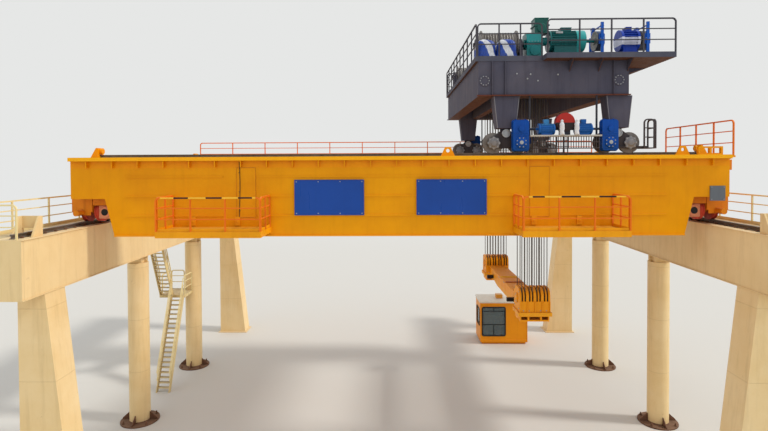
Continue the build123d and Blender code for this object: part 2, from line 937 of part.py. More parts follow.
def truck(side, end):
    truck_x = side * crane_gauge / 2
    truck_y = bridge_centre + end * truck_line
    bearing_reach = bridge_wheel_pitch / 2
    with BuildPart() as frame:
        for offset in (-truck_inner_offset - truck_plate / 2, truck_inner_offset - truck_plate / 2):
            with BuildSketch(Plane.YZ.offset(truck_x + offset)):
                with BuildLine():
                    Polyline(
                        (truck_y - truck_length / 2, notch_height),
                        (truck_y + truck_length / 2, notch_height),
                        (truck_y + truck_length / 2, bridge_axle_height),
                        (truck_y + bearing_reach, bridge_axle_height - truck_bearing_radius),
                        (truck_y - bearing_reach, bridge_axle_height - truck_bearing_radius),
                        (truck_y - truck_length / 2, bridge_axle_height),
                        close=True,
                    )
                make_face()
                with Locations((truck_y, bridge_axle_height)):
                    with GridLocations(bridge_wheel_pitch, 0, 2, 1):
                        Circle(truck_bearing_radius)
                        Circle(bridge_axle_diameter / 2 + running_gap, mode=Mode.SUBTRACT)
            extrude(amount=truck_plate)
        with Locations((truck_x, truck_y, notch_height - top_box_height / 2)):
            Box(2 * truck_inner_offset + truck_plate, truck_length, top_box_height)
        end_face = truck_y + end * truck_length / 2
        end_plate_height = notch_height - buffer_height + buffer_radius
        with Locations((truck_x, end_face - end * truck_end_plate / 2, notch_height - end_plate_height / 2)):
            Box(2 * truck_inner_offset, truck_end_plate, end_plate_height)
        with BuildSketch(Plane.XZ.offset(-end_face)):
            with Locations((truck_x, buffer_height)):
                Circle(buffer_radius)
        extrude(amount=-end * buffer_length)
    return frame.part


trucks = [truck(side, end) for side in (-1, 1) for end in (-1, 1)]
save(Compound(trucks), "bridge_trucks")

def flanged_wheel(centre, axis, diameter, tread, flange, flange_width, axle, axle_length):
    """A double-flanged crane wheel with its axle, turned about its axis."""
    turned = Plane(origin=centre, x_dir=axis, z_dir=(axis[1], -axis[0], 0))
    half = tread / 2
    with BuildPart() as wheel:
        with BuildSketch(turned):
            with BuildLine():
                Polyline(
                    (-half - flange_width, 0),
                    (-half - flange_width, diameter / 2 + flange),
                    (-half, diameter / 2 + flange),
                    (-half, diameter / 2),
                    (half, diameter / 2),
                    (half, diameter / 2 + flange),
                    (half + flange_width, diameter / 2 + flange),
                    (half + flange_width, 0),
                    close=True,
                )
            make_face()
        revolve(axis=Axis(origin=centre, direction=axis))
        with BuildSketch(Plane(origin=centre, x_dir=(0, 0, 1), z_dir=axis)):
            Circle(axle / 2)
        extrude(amount=axle_length / 2, both=True)
    return wheel.part


bridge_wheels = [
    flanged_wheel(
        (
            side * crane_gauge / 2,
            bridge_centre + end * truck_line + step * bridge_wheel_pitch / 2,
            bridge_axle_height,
        ),
        (1, 0, 0),
        bridge_wheel_diameter,
        crane_rail_head + 2 * wheel_side_gap,
        bridge_wheel_flange,
        bridge_wheel_flange_width,
        bridge_axle_diameter,
        2 * truck_inner_offset + truck_plate + 60,
    )
    for side in (-1, 1)
    for end in (-1, 1)
    for step in (-1, 1)
]
save(Compound(bridge_wheels), "bridge_wheels")

# Trolley rails near the inner webs, with their end stops
trolley_rail_top = girder_top + trolley_rail_height
trolley_rail_length = girder_length - 2 * trolley_rail_inset
trolley_rails = Compound(
    [
        rail_bar(
            0,
            bridge_centre + end * trolley_gauge / 2,
            girder_top,
            trolley_rail_length,
            trolley_rail_height,
            trolley_rail_head,
            trolley_rail_foot,
            trolley_rail_web,
            "X",
        )
        for end in (-1, 1)
    ]
)
save(trolley_rails, "trolley_rails")

with BuildPart() as trolley_stops:
    for side in (-1, 1):
        stop_x = side * (trolley_rail_length / 2 + panel_gap)
        for end in (-1, 1):
            stop_y = bridge_centre + end * trolley_gauge / 2
            with BuildSketch(Plane.XZ.offset(-stop_y)):
                with BuildLine():
                    Polyline(
                        (stop_x, girder_top),
                        (stop_x, girder_top + trolley_stop_height),
                        (stop_x + side * trolley_stop_width / 2, girder_top + trolley_stop_height),
                        (stop_x + side * 2 * trolley_stop_width, girder_top),
                        close=True,
                    )
                make_face()
            extrude(amount=trolley_stop_depth / 2, both=True)
            with BuildSketch(Plane.YZ.offset(stop_x)):
                with Locations((stop_y, girder_top + trolley_stop_height - buffer_radius - 20)):
                    Circle(buffer_radius)
            extrude(amount=-side * buffer_radius)
save(trolley_stops.part, "trolley_stops")

# Hanging platforms: a deck with a deep edge and struts back to the web
def hanging_platform(start):
    middle_x = start + platform_length / 2
    middle_y = front_web - platform_depth / 2
    with BuildPart() as basket:
        with BuildSketch(Plane.XY.offset(platform_deck_top - platform_fascia)):
            with Locations((middle_x, middle_y)):
                Rectangle(platform_length, platform_depth)
        extrude(amount=platform_fascia)
        with BuildSketch(Plane.XY.offset(platform_deck_top - platform_fascia)):
            with Locations((middle_x, middle_y)):
                Rectangle(platform_length - 120, platform_depth - 120)
        extrude(amount=platform_fascia - 30, mode=Mode.SUBTRACT)
    return basket.part


def basket_railings(start):
    middle_x = start + platform_length / 2
    inset = rail_tube / 2
    front = along_x(middle_x, front_web - platform_depth + inset, platform_deck_top)
    side_length = platform_depth - 2 * rail_tube - 2 * panel_gap - 60
    side_y = front_web - 30 - rail_tube / 2 - side_length / 2
    panels = [railing(front, platform_length - rail_tube, 3, platform_railing_height)]
    for side_x in (start + inset, start + platform_length - inset):
        place = along_y(side_x, side_y, platform_deck_top)
        panels.append(railing(place, side_length, 2, platform_railing_height))
    return panels


for name, start in (("left", platform_left_start), ("right", platform_right_start)):
    save(hanging_platform(start), f"platform_{name}")
    save(Compound(basket_railings(start)), f"platform_railing_{name}")

# Railing along the back girder's outer edge, and the platform at the right end
back_edge = back_web + top_flange_overhang
back_railing = railing(
    along_x(0, back_edge - rail_tube, girder_top), girder_length - 2 * rail_tube, 12, railing_height
)

end_platform_top = girder_top - end_platform_drop
with BuildPart() as end_platform:
    with BuildSketch(Plane.XY.offset(end_platform_top - end_platform_thickness)):
        platform_x = girder_length / 2 + end_platform_depth / 2
        with Locations((platform_x, end_platform_start + end_platform_length / 2)):
            Rectangle(end_platform_depth, end_platform_length)
    extrude(amount=end_platform_thickness)
save(end_platform.part, "end_platform_right")
end_railing = railing(
    along_y(
        girder_length / 2 + end_platform_depth - rail_tube,
        end_platform_start + end_platform_length / 2,
        end_platform_top,
    ),
    end_platform_length - 2 * rail_tube,
    4,
    railing_height + 250,
)
save(Compound([back_railing, end_railing]), "bridge_railings")

# Blank boards on the front web, and the blank grey plate at its right end
ridge_face = front_web - ridge_rise
with BuildPart() as sign_boards:
    with BuildSketch(Plane.XZ.offset(-ridge_face)):
        with Locations((board_left, board_centre_height), (board_right, board_centre_height)):
            Rectangle(board_width, board_height)
    extrude(amount=board_thickness)
save(sign_boards.part, "sign_boards")

with BuildPart() as end_plate:
    with BuildSketch(Plane.XZ.offset(-front_web)):
        with Locations((plate_centre_x, plate_centre_z)):
            Rectangle(plate_side, plate_side)
    extrude(amount=board_thickness)
save(end_plate.part, "end_plate")

# Lifting eyes on the girder tops, and an open guard frame near the front right corner
lug_places = (1900, 10500)
lug_width = 520
lug_height = 330
guard_length = 880
guard_height = 300
guard_depth = 120
guard_centre = 11370
with BuildPart() as girder_lugs:
    for lug_y in (front_web + lug_width / 2, back_web - lug_width / 2):
        for lug_x in lug_places:
            with BuildSketch(Plane.XZ.offset(-lug_y)):
                with BuildLine():
                    Polyline(
                        (lug_x - lug_width / 2, girder_top),
                        (lug_x + lug_width / 2, girder_top),
                        (lug_x + lug_width / 5, girder_top + lug_height),
                        (lug_x - lug_width / 5, girder_top + lug_height),
                        close=True,
                    )
                make_face()
                with Locations((lug_x, girder_top + lug_height * 0.6)):
                    Circle(lug_height / 5, mode=Mode.SUBTRACT)
            extrude(amount=30, both=True)
    with BuildSketch(Plane.XZ.offset(-front_web)):
        with Locations((guard_centre, girder_top + guard_height / 2)):
            Rectangle(guard_length, guard_height)
            with GridLocations(guard_length / 2 - 30, 0, 2, 1):
                Rectangle(guard_length / 2 - 110, guard_height - 120, mode=Mode.SUBTRACT)
    extrude(amount=-guard_depth)
save(girder_lugs.part, "girder_lugs")

# Trolley frame beams
frame_left = trolley_centre - trolley_frame_left
frame_right = trolley_centre + trolley_frame_right
frame_depth = trolley_frame_top - trolley_frame_bottom
deck_left_edge = trolley_centre - deck_left
deck_right_edge = trolley_centre + deck_right
deck_corner_end = deck_left_edge + deck_corner_length
deck_corner_reach = deck_reach - deck_corner_depth
rail_line = trolley_gauge / 2
for name, end in (("front", -1), ("back", 1)):
    beam_y = bridge_centre + end * rail_line
    beam_face = beam_y + end * trolley_beam_width / 2
    frame_middle = (frame_left + frame_right) / 2
    with BuildPart() as long_beam:
        with BuildSketch(Plane.XY.offset(trolley_frame_bottom)):
            with Locations((frame_middle, beam_y)):
                Rectangle(frame_right - frame_left, trolley_beam_width)
        extrude(amount=frame_depth)
        with BuildSketch(Plane.XY.offset(trolley_frame_bottom)):
            with Locations((frame_middle, beam_face)):
                Rectangle(frame_right - frame_left + 2 * frame_flange_overhang, 2 * frame_flange_overhang)
        extrude(amount=frame_flange)
        for place in stiffener_places:
            with Locations((frame_left + place, beam_face, trolley_frame_bottom + frame_depth / 2)):
                Box(stiffener_thickness, 2 * stiffener_depth, frame_depth)
        with BuildSketch(Plane.XZ.offset(-beam_face)):
            for place in cover_places:
                with Locations((frame_left + place, cover_height)):
                    Circle(cover_radius)
                    Circle(cover_radius * 0.6, mode=Mode.SUBTRACT)
        extrude(amount=cover_thickness, both=True)
        with BuildSketch(Plane.XZ.offset(-beam_face)):
            for place in cover_places:
                with Locations((frame_left + place, cover_height)):
                    Circle(cover_radius * 0.6)
        extrude(amount=cover_thickness / 2, both=True)
        for index in range(edge_bracket_count):
            bracket_x = frame_right - index * deck_bracket_pitch - frame_flange_overhang
            with BuildSketch(Plane.YZ.offset(bracket_x)):
                with BuildLine():
                    Polyline(
                        (beam_face, trolley_frame_top),
                        (bridge_centre + end * (deck_reach - rail_tube), trolley_frame_top),
                        (beam_face, trolley_frame_top - deck_bracket_depth),
                        close=True,
                    )
                make_face()
            extrude(amount=deck_bracket_thickness / 2, both=True)
    save(long_beam.part, f"trolley_{name}_beam")

cross_length = trolley_gauge - trolley_beam_width
cross_places = (
    (frame_left + trolley_side_width / 2, trolley_side_width),
    (fall_centre - block_width / 2 - trolley_middle_width, trolley_middle_width),
    (frame_right - trolley_side_width / 2, trolley_side_width),
)
with BuildPart() as cross_beams:
    for cross_x, width in cross_places:
        with BuildSketch(Plane.XY.offset(trolley_frame_bottom)):
            with Locations((cross_x, bridge_centre)):
                Rectangle(width, cross_length)
        extrude(amount=frame_depth)
    for index in range(deck_bracket_count):
        bracket_y = bridge_centre + (index - (deck_bracket_count - 1) / 2) * cross_length / deck_bracket_count
        with BuildSketch(Plane.XZ.offset(-bracket_y)):
            with BuildLine():
                Polyline(
                    (frame_right, trolley_frame_top),
                    (trolley_centre + deck_right - rail_tube, trolley_frame_top),
                    (frame_right, trolley_frame_top - deck_bracket_depth),
                    close=True,
                )
            make_face()
        extrude(amount=deck_bracket_thickness / 2, both=True)
save(cross_beams.part, "trolley_cross_beams")

# Deck over the frame, wider than it on the right, with its left corners cut back
with BuildPart() as deck:
    with BuildSketch(Plane.XY.offset(trolley_frame_top)):
        with Locations(((deck_left_edge + deck_right_edge) / 2, bridge_centre)):
            Rectangle(deck_right_edge - deck_left_edge, 2 * deck_reach)
        for end in (-1, 1):
            with Locations(
                (
                    deck_left_edge + deck_corner_length / 2,
                    bridge_centre + end * (deck_reach - deck_corner_depth / 2),
                )
            ):
                Rectangle(deck_corner_length, deck_corner_depth, mode=Mode.SUBTRACT)
    extrude(amount=deck_thickness)
save(deck.part, "trolley_deck")
deck_top = trolley_frame_top + deck_thickness

# Two-wheel bogies and the tapered legs that stand on their pivots
trolley_axle_height = trolley_rail_top + trolley_wheel_diameter / 2 + running_gap
trolley_tread = trolley_rail_head + 2 * wheel_side_gap
bogie_inside = trolley_tread / 2 + trolley_wheel_flange_width + 25
bogie_outside = bogie_inside + bogie_plate
wheel_reach = trolley_wheel_diameter / 2 + trolley_wheel_flange

with BuildPart() as trolley_legs:
    for side in (-1, 1):
        for end in (-1, 1):
            leg_x = trolley_centre + side * leg_offset
            leg_plane = Plane.XZ.offset(-bridge_centre - end * rail_line)
            with BuildSketch(leg_plane):
                with BuildLine():
                    Polyline(
                        (leg_x - trolley_leg_top / 2, trolley_frame_bottom),
                        (leg_x + trolley_leg_top / 2, trolley_frame_bottom),
                        (leg_x + trolley_leg_foot / 2, trolley_leg_bottom),
                        (leg_x - trolley_leg_foot / 2, trolley_leg_bottom),
                        close=True,
                    )
                make_face()
            extrude(amount=trolley_leg_width / 2, both=True)
            with BuildSketch(leg_plane):
                with Locations((leg_x, pivot_height)):
                    Circle(pivot_lug_radius)
                    Rectangle(
                        2 * pivot_lug_radius,
                        trolley_leg_bottom - pivot_height,
                        align=(Align.CENTER, Align.MIN),
                    )
            extrude(amount=bogie_inside - panel_gap, both=True)
            with BuildSketch(leg_plane):
                with Locations((leg_x, pivot_height)):
                    Circle(pivot_pin_radius)
            extrude(amount=bogie_outside + panel_gap, both=True)
            for cap_side in (-1, 1):
                cap_face = cap_side * (bogie_outside + panel_gap) - bridge_centre - end * rail_line
                with BuildSketch(Plane.XZ.offset(cap_face)):
                    with Locations((leg_x, pivot_height)):
                        Circle(pivot_lug_radius - 5)
                extrude(amount=cap_side * pivot_cap)
save(trolley_legs.part, "trolley_legs")


def bogie(side, end):
    bogie_x = trolley_centre + side * leg_offset
    bogie_y = bridge_centre + end * rail_line
    spacer_width = trolley_wheel_pitch - 2 * wheel_reach - 2 * wheel_side_gap
    with BuildPart() as frame:
        for plate_side in (-1, 1):
            inner_face = Plane.XZ.offset(-bogie_y + plate_side * bogie_inside)
            with BuildSketch(inner_face):
                with Locations((bogie_x, trolley_axle_height)):
                    with GridLocations(trolley_wheel_pitch, 0, 2, 1):
                        Circle(axle_lug_radius)
                with Locations((bogie_x, pivot_height)):
                    Circle(pivot_lug_radius)
                make_hull()
            extrude(amount=plate_side * bogie_plate)
            with BuildSketch(inner_face):
                with Locations((bogie_x, trolley_axle_height)):
                    with GridLocations(trolley_wheel_pitch, 0, 2, 1):
                        Circle(axle_lug_radius)
            extrude(amount=plate_side * (bogie_plate + axle_boss))
        with Locations((bogie_x, bogie_y, trolley_axle_height)):
            Box(spacer_width, 2 * bogie_inside + bogie_plate, 2 * axle_lug_radius - 100)
        if side > 0:
            floor_z = trolley_axle_height - axle_lug_radius - step_floor / 2
            step_middle = trolley_centre + step_start + step_width / 2
            with Locations((step_middle, bogie_y, floor_z)):
                Box(step_width, step_depth, step_floor)
            for arm_side in (-1, 1):
                arm_y = bogie_y + arm_side * (bogie_outside + axle_boss / 2)
                with Locations(((bogie_x + step_middle) / 2, arm_y, floor_z + step_floor)):
                    Box(step_middle - bogie_x, axle_boss, 2 * step_floor)
        with BuildSketch(Plane.XZ.offset(-bogie_y)):
            with Locations((bogie_x, trolley_axle_height)):
                with GridLocations(trolley_wheel_pitch, 0, 2, 1):
                    Circle(trolley_axle_diameter / 2 + running_gap)
            with Locations((bogie_x, pivot_height)):
                Circle(pivot_pin_radius + running_gap)
        extrude(amount=bogie_outside + axle_boss, both=True, mode=Mode.SUBTRACT)
    return frame.part


bogies = [bogie(side, end) for side in (-1, 1) for end in (-1, 1)]
step_z = trolley_axle_height - axle_lug_radius
step_right = trolley_centre + step_start + step_width
step_rails = []
for end in (-1, 1):
    step_y = bridge_centre + end * rail_line
    outer_y = step_y + end * (step_depth / 2 - rail_tube / 2)
    step_rails.append(
        railing_along_x(
            step_right - step_width, step_right - rail_tube - panel_gap, outer_y, step_z, 1, step_height
        )
    )
    step_rails.append(
        railing_along_y(
            step_y - step_depth / 2,
            step_y + step_depth / 2,
            step_right - rail_tube / 2,
            step_z,
            1,
            step_height,
        )
    )
save(Compound(bogies + step_rails), "trolley_bogies")

trolley_wheels = [
    flanged_wheel(
        (
            trolley_centre + side * leg_offset + step * trolley_wheel_pitch / 2,
            bridge_centre + end * rail_line,
            trolley_axle_height,
        ),
        (0, 1, 0),
        trolley_wheel_diameter,
        trolley_tread,
        trolley_wheel_flange,
        trolley_wheel_flange_width,
        trolley_axle_diameter,
        2 * (bogie_outside + axle_boss + axle_overhang),
    )
    for side in (-1, 1)
    for end in (-1, 1)
    for step in (-1, 1)
]
save(Compound(trolley_wheels), "trolley_wheels")

def motor(start, length, radius, row_y, axis_z, fins):
    """A motor turned about X: finned frame, two end shields and a terminal box on its top."""
    with BuildPart() as machine:
        with BuildSketch(Plane.YZ.offset(start)):
            with Locations((row_y, axis_z)):
                Circle(radius * motor_body_share)
                with PolarLocations(radius * (1 + motor_body_share) / 2 - 10, fins):
                    Rectangle(radius * (1 - motor_body_share) + 20, motor_fin_thickness)
        extrude(amount=length)
        for shield in (start, start + length - motor_shield):
            with BuildSketch(Plane.YZ.offset(shield)):
                with Locations((row_y, axis_z)):
                    Circle(radius)
            extrude(amount=motor_shield)
        with Locations((start + length / 2, row_y, axis_z + radius)):
            Box(length * 0.3, radius * 0.8, radius * 0.4)
    return machine.part


# Travel gearboxes outside the legs, on hollow shafts over the driven axles
axle_end = bogie_outside + axle_boss + axle_overhang
gearbox_gap = trolley_leg_width / 2 + gearbox_leg_gap
driven_offset = leg_offset - trolley_wheel_pitch / 2
shaft_height = gearbox_low + gearbox_height - 330
with BuildPart() as gearboxes:
    for side in (-1, 1):
        for end in (-1, 1):
            gearbox_x = trolley_centre + side * driven_offset
            gearbox_z = gearbox_low + gearbox_height / 2
            inner_face = bridge_centre + end * (rail_line + gearbox_gap)
            with BuildSketch(Plane.XZ.offset(-inner_face)):
                with Locations((gearbox_x, gearbox_z)):
                    RectangleRounded(gearbox_width, gearbox_height, gearbox_corner)
            extrude(amount=-end * gearbox_depth)
            with BuildSketch(Plane.XZ.offset(-inner_face - end * gearbox_depth / 2)):
                with Locations((gearbox_x, gearbox_z)):
                    RectangleRounded(
                        gearbox_width + 2 * gearbox_flange,
                        gearbox_height + 2 * gearbox_flange,
                        gearbox_corner,
                    )
            extrude(amount=gearbox_flange_width / 2, both=True)
            with BuildSketch(Plane.XZ.offset(-inner_face - end * gearbox_depth)):
                with Locations((gearbox_x, trolley_axle_height)):
                    Circle(gearbox_hub_radius)
                with Locations((gearbox_x, shaft_height)):
                    Circle(gearbox_hub_radius * 0.7)
            extrude(amount=-end * gearbox_hub)
            shaft_start = bridge_centre + end * (rail_line + axle_end + running_gap)
            with BuildSketch(Plane.XZ.offset(-shaft_start)):
                with Locations((gearbox_x, trolley_axle_height)):
                    Circle(trolley_axle_diameter / 2 + 30)
            extrude(amount=-end * (gearbox_gap - axle_end - running_gap))
save(gearboxes.part, "travel_gearboxes")

# Travel motors on a shelf between the gearboxes, with the brake guard between them
drive_inner = driven_offset - gearbox_width / 2
hanger_x = drive_inner - 100
hanger_reach = trolley_beam_width / 2 - 70
shelf_top = shaft_height - travel_motor_radius - 20
travel_drives = []
for end in (-1, 1):
    drive_y = bridge_centre + end * (rail_line + gearbox_gap + gearbox_depth / 2)
    with BuildPart() as drive:
        with BuildSketch(Plane.YZ.offset(trolley_centre)):
            with Locations((drive_y, shaft_height)):
                Circle(travel_shaft_radius)
        extrude(amount=drive_inner - gearbox_flange, both=True)
        for side in (-1, 1):
            motor_x = trolley_centre + side * travel_motor_offset
            motor_start_x = motor_x - travel_motor_length / 2
            add(motor(motor_start_x, travel_motor_length, travel_motor_radius, drive_y, shaft_height, 16))
            with Locations((motor_x, drive_y, (shelf_top + shaft_height) / 2)):
                Box(travel_motor_length * 0.7, 1.3 * travel_motor_radius, shaft_height - shelf_top)
        with BuildSketch(Plane.XZ.offset(-drive_y)):
            with Locations((trolley_centre, shaft_height + travel_guard_lift)):
                Circle(travel_guard_radius)
            with Locations((trolley_centre, shelf_top)):
                Rectangle(
                    travel_guard_radius,
                    shaft_height + travel_guard_lift - shelf_top,
                    align=(Align.CENTER, Align.MIN),
                )
        extrude(amount=travel_guard_width / 2, both=True)
    with BuildPart() as shelf:
        with Locations((trolley_centre, drive_y, shelf_top - shelf_thickness / 2)):
            Box(2 * (drive_inner - gearbox_flange - panel_gap), shelf_width, shelf_thickness)
        hanger_y = bridge_centre + end * (rail_line + hanger_reach)
        with Locations((trolley_centre, hanger_y, (shelf_top + trolley_frame_bottom) / 2)):
            with GridLocations(2 * hanger_x, 0, 2, 1):
                Box(60, 60, trolley_frame_bottom - shelf_top)
    travel_drives.append(drive.part)
    travel_drives.append(shelf.part)
save(Compound(travel_drives), "travel_drives")

# Grooved rope drums on the deck
def rope_drum(row_y):
    """One drum turned about its axis: flanges, and flat-bottomed grooves for the rope."""
    radius = drum_diameter / 2
    floor = radius - drum_groove_depth
    groove_start = drum_flange_width + drum_land
    grooves = int((drum_length - 2 * groove_start) / drum_groove_pitch)
    rim = radius + drum_flange
    outline = [(0, 0), (0, rim), (drum_flange_width, rim), (drum_flange_width, radius)]
    for index in range(grooves):
        x = groove_start + index * drum_groove_pitch
        for share, height in ((0.1, radius), (0.3, floor), (0.7, floor), (0.9, radius)):
            outline.append((x + share * drum_groove_pitch, height))
    far_flange = drum_length - drum_flange_width
    outline += [(far_flange, radius), (far_flange, radius + drum_flange), (drum_length, radius + drum_flange)]
    outline.append((drum_length, 0))
    with BuildPart() as drum:
        with BuildSketch(Plane(origin=(drum_start, row_y, machine_axis), x_dir=(1, 0, 0), z_dir=(0, -1, 0))):
            with BuildLine():
                Polyline(*outline, close=True)
            make_face()
        revolve(axis=Axis(origin=(drum_start, row_y, machine_axis), direction=(1, 0, 0)))
    return drum.part


machine_rows = (bridge_centre - hoist_row, bridge_centre + hoist_row)
save(Compound([rope_drum(row_y) for row_y in machine_rows]), "rope_drums")

# Bearing pedestals carry the drum shafts; the right one's shaft runs on to the reducer
drum_end = drum_start + drum_length
reducer_face = reducer_centre - reducer_width / 2
pedestal_places = (
    (drum_start - pedestal_gap, drum_start - pedestal_gap - pedestal_width, drum_start),
    (drum_end + pedestal_gap, drum_end, reducer_face),
)
with BuildPart() as pedestals:
    for row_y in machine_rows:
        for pedestal_x, shaft_from, shaft_to in pedestal_places:
            with BuildSketch(Plane.YZ.offset(pedestal_x - pedestal_width / 2)):
                with Locations((row_y, machine_axis)):
                    Circle(pedestal_cap + drum_shaft_radius)
                with Locations((row_y, deck_top + 20)):
                    Rectangle(pedestal_depth * 1.5, 40)
                make_hull()
            extrude(amount=pedestal_width)
            with BuildSketch(Plane.YZ.offset(shaft_from)):
                with Locations((row_y, machine_axis)):
                    Circle(drum_shaft_radius)
            extrude(amount=shaft_to - shaft_from)
save(pedestals.part, "drum_pedestals")

# Hoist reducers: split housings with bearing caps, and the box drive on their shoulders
with BuildPart() as reducers:
    for row_y in machine_rows:
        with BuildSketch(Plane.YZ.offset(reducer_face)):
            with BuildLine():
                Polyline(
                    (row_y - reducer_depth / 2, deck_top),
                    (row_y + reducer_depth / 2, deck_top),
                    (row_y + reducer_depth / 2, machine_axis + reducer_split / 2),
                    (row_y + reducer_depth / 2 - reducer_shoulder, reducer_top),
                    (row_y - reducer_depth / 2 + reducer_shoulder, reducer_top),
                    (row_y - reducer_depth / 2, machine_axis + reducer_split / 2),
                    close=True,
                )
            make_face()
        extrude(amount=reducer_width)
        with Locations((reducer_centre, row_y, machine_axis)):
            Box(reducer_width, reducer_depth + 2 * reducer_flange, reducer_split)
        with Locations((reducer_centre + reducer_width / 2, row_y, reducer_top + exciter_height / 2)):
            Box(exciter_width, exciter_depth, exciter_height)
            Box(exciter_width + 2 * reducer_flange, exciter_depth + 2 * reducer_flange, reducer_split)
save(reducers.part, "hoist_reducers")

# Hoist motors, each coupled to its reducer and to the brake on its far side
motor_axis = machine_axis + motor_lift
reducer_right = reducer_centre + reducer_width / 2
motors = []
for row_y in machine_rows:
    with BuildPart() as hoist_motor:
        add(motor(motor_start, motor_length, motor_radius, row_y, motor_axis, motor_fins))
        with Locations((motor_start + motor_length / 2, row_y, (deck_top + motor_axis) / 2)):
            Box(motor_length * 0.75, 1.5 * motor_radius, motor_axis - deck_top)
        with BuildSketch(Plane.YZ.offset(reducer_right)):
            with Locations((row_y, motor_axis)):
                Circle(line_shaft_radius)
        extrude(amount=first_brake_centre - brake_drum_width / 2 - reducer_right)
        with BuildSketch(Plane.YZ.offset((reducer_right + motor_start - coupling_length) / 2)):
            with Locations((row_y, motor_axis)):
                Circle(coupling_radius)
        extrude(amount=coupling_length)
    motors.append(hoist_motor.part)
save(Compound(motors), "hoist_motors")

# Second motors, shorter than the first
second_motors = []
for row_y in machine_rows:
    with BuildPart() as second_motor:
        add(
            motor(
                second_motor_start,
                second_motor_length,
                second_motor_radius,
                row_y,
                motor_axis,
                motor_fins,
            )
        )
        with Locations((second_motor_start + second_motor_length / 2, row_y, (deck_top + motor_axis) / 2)):
            Box(second_motor_length * 0.75, 1.4 * second_motor_radius, motor_axis - deck_top)
    second_motors.append(second_motor.part)
save(Compound(second_motors), "second_motors")


# Drum brakes: two shoe arms round the drum, a pull rod above it and a thruster beside it
def drum_brake(centre_x, row_y, axis_z, shaft_end):
    """One brake on the deck; shaft_end is where its shaft meets the next machine."""
    arm_y = brake_drum_radius + brake_shoe + brake_arm / 2
    top = deck_top + brake_height
    base_reach = arm_y + brake_arm / 2 + thruster_reach + thruster_radius
    thruster_y = arm_y + brake_arm / 2 + thruster_reach
    with BuildPart() as brake:
        with BuildSketch(Plane.YZ.offset(centre_x - brake_drum_width / 2)):
            with Locations((row_y, axis_z)):
                Circle(brake_drum_radius)
        extrude(amount=brake_drum_width)
        with BuildSketch(Plane.YZ.offset(centre_x)):
            with Locations((row_y, axis_z)):
                Circle(line_shaft_radius)
        extrude(amount=shaft_end - centre_x)
        with Locations((centre_x, row_y + thruster_reach / 2, deck_top + brake_base / 2)):
            Box(brake_drum_width + 100, 2 * base_reach - thruster_reach, brake_base)
        for arm_side in (-1, 1):
            with Locations((centre_x, row_y + arm_side * arm_y, (deck_top + top) / 2)):
                Box(brake_arm_width, brake_arm, brake_height)
            with BuildSketch(Plane.YZ.offset(centre_x - brake_arm_width)):
                with Locations((row_y + arm_side * (brake_drum_radius + brake_shoe / 2), axis_z)):
                    Rectangle(brake_shoe + 60, brake_drum_radius)
            extrude(amount=2 * brake_arm_width)
        with BuildSketch(Plane.XZ.offset(-row_y)):
            with Locations((centre_x, top - 120)):
                Circle(28)
        extrude(amount=arm_y, both=True)
        with BuildSketch(Plane.XY.offset(deck_top)):
            with Locations((centre_x, row_y + thruster_y)):
                Circle(thruster_radius)
        extrude(amount=brake_height * 0.75)
        with Locations((centre_x, row_y + (arm_y + thruster_y) / 2, top - 40)):
            Box(60, thruster_y - arm_y + 80, 50)
        with Locations((centre_x, row_y + thruster_y, deck_top + brake_height * 0.85)):
            Box(40, 40, brake_height * 0.3)
    return brake.part


brakes = []
for row_y in machine_rows:
    first_shaft_end = first_brake_centre + brake_drum_width / 2 + 80
    brakes.append(drum_brake(first_brake_centre, row_y, motor_axis, first_shaft_end))
    second_shaft_end = second_motor_start + second_motor_length
    brakes.append(drum_brake(second_brake_centre, row_y, motor_axis, second_shaft_end))
save(Compound(brakes), "hoist_brakes")

# Wrapped reducers at the front left of the deck, crowned under their sheets
wrapped_y = bridge_centre - deck_corner_reach + wrapped_setback
wrapped_start = deck_left_edge + wrapped_gap + wrapped_width / 2
with BuildPart() as wrapped_reducers:
    with BuildSketch(Plane.XZ.offset(-wrapped_y)):
        for index in range(2):
            with Locations((wrapped_start + index * (wrapped_width + wrapped_gap), deck_top)):
                add(hoop(wrapped_width, wrapped_height, wrapped_crown))
    extrude(amount=wrapped_width / 2, both=True)
save(wrapped_reducers.part, "wrapped_reducers")

# Deck railings: the front ones stand back at the deck's cut corners
deck_panels = [
    railing_along_y(
        bridge_centre - deck_corner_reach,
        bridge_centre + deck_corner_reach,
        deck_left_edge + rail_tube / 2,
        deck_top,
        9,
        trolley_railing_height,
    )
]
for end in (-1, 1):
    corner_y = bridge_centre + end * (deck_corner_reach - rail_tube / 2)
    edge_y = bridge_centre + end * (deck_reach - rail_tube / 2)
    deck_panels.append(
        railing_along_x(
            deck_left_edge + rail_tube + panel_gap,
            deck_corner_end - panel_gap,
            corner_y,
            deck_top,
            3,
            trolley_railing_height,
        )
    )
    deck_panels.append(
        railing_along_x(
            deck_corner_end + panel_gap, deck_right_edge, edge_y, deck_top, 4, trolley_railing_height
        )
    )
save(Compound(deck_panels), "deck_railings")

# Upper sheave blocks hung under the deck
plate_offset = block_width / 2 - upper_plate_width / 2


def sheave(centre):
    """One grooved sheave turned about X."""
    half = sheave_width / 2
    floor = rope_diameter / 2 + 2
    rim = (half - floor) / 2
    with BuildPart() as wheel:
        with BuildSketch(Plane(origin=centre, x_dir=(1, 0, 0), z_dir=(0, -1, 0))):
            with BuildLine():
                Polyline(
                    (-half, sheave_bore / 2 + running_gap),
                    (-half, sheave_diameter / 2),
                    (-half + rim, sheave_diameter / 2),
                    (-floor, sheave_diameter / 2 - sheave_groove),
                    (floor, sheave_diameter / 2 - sheave_groove),
                    (half - rim, sheave_diameter / 2),
                    (half, sheave_diameter / 2),
                    (half, sheave_bore / 2 + running_gap),
                    close=True,
                )
            make_face()
        revolve(axis=Axis(origin=centre, direction=(1, 0, 0)))
    return wheel.part


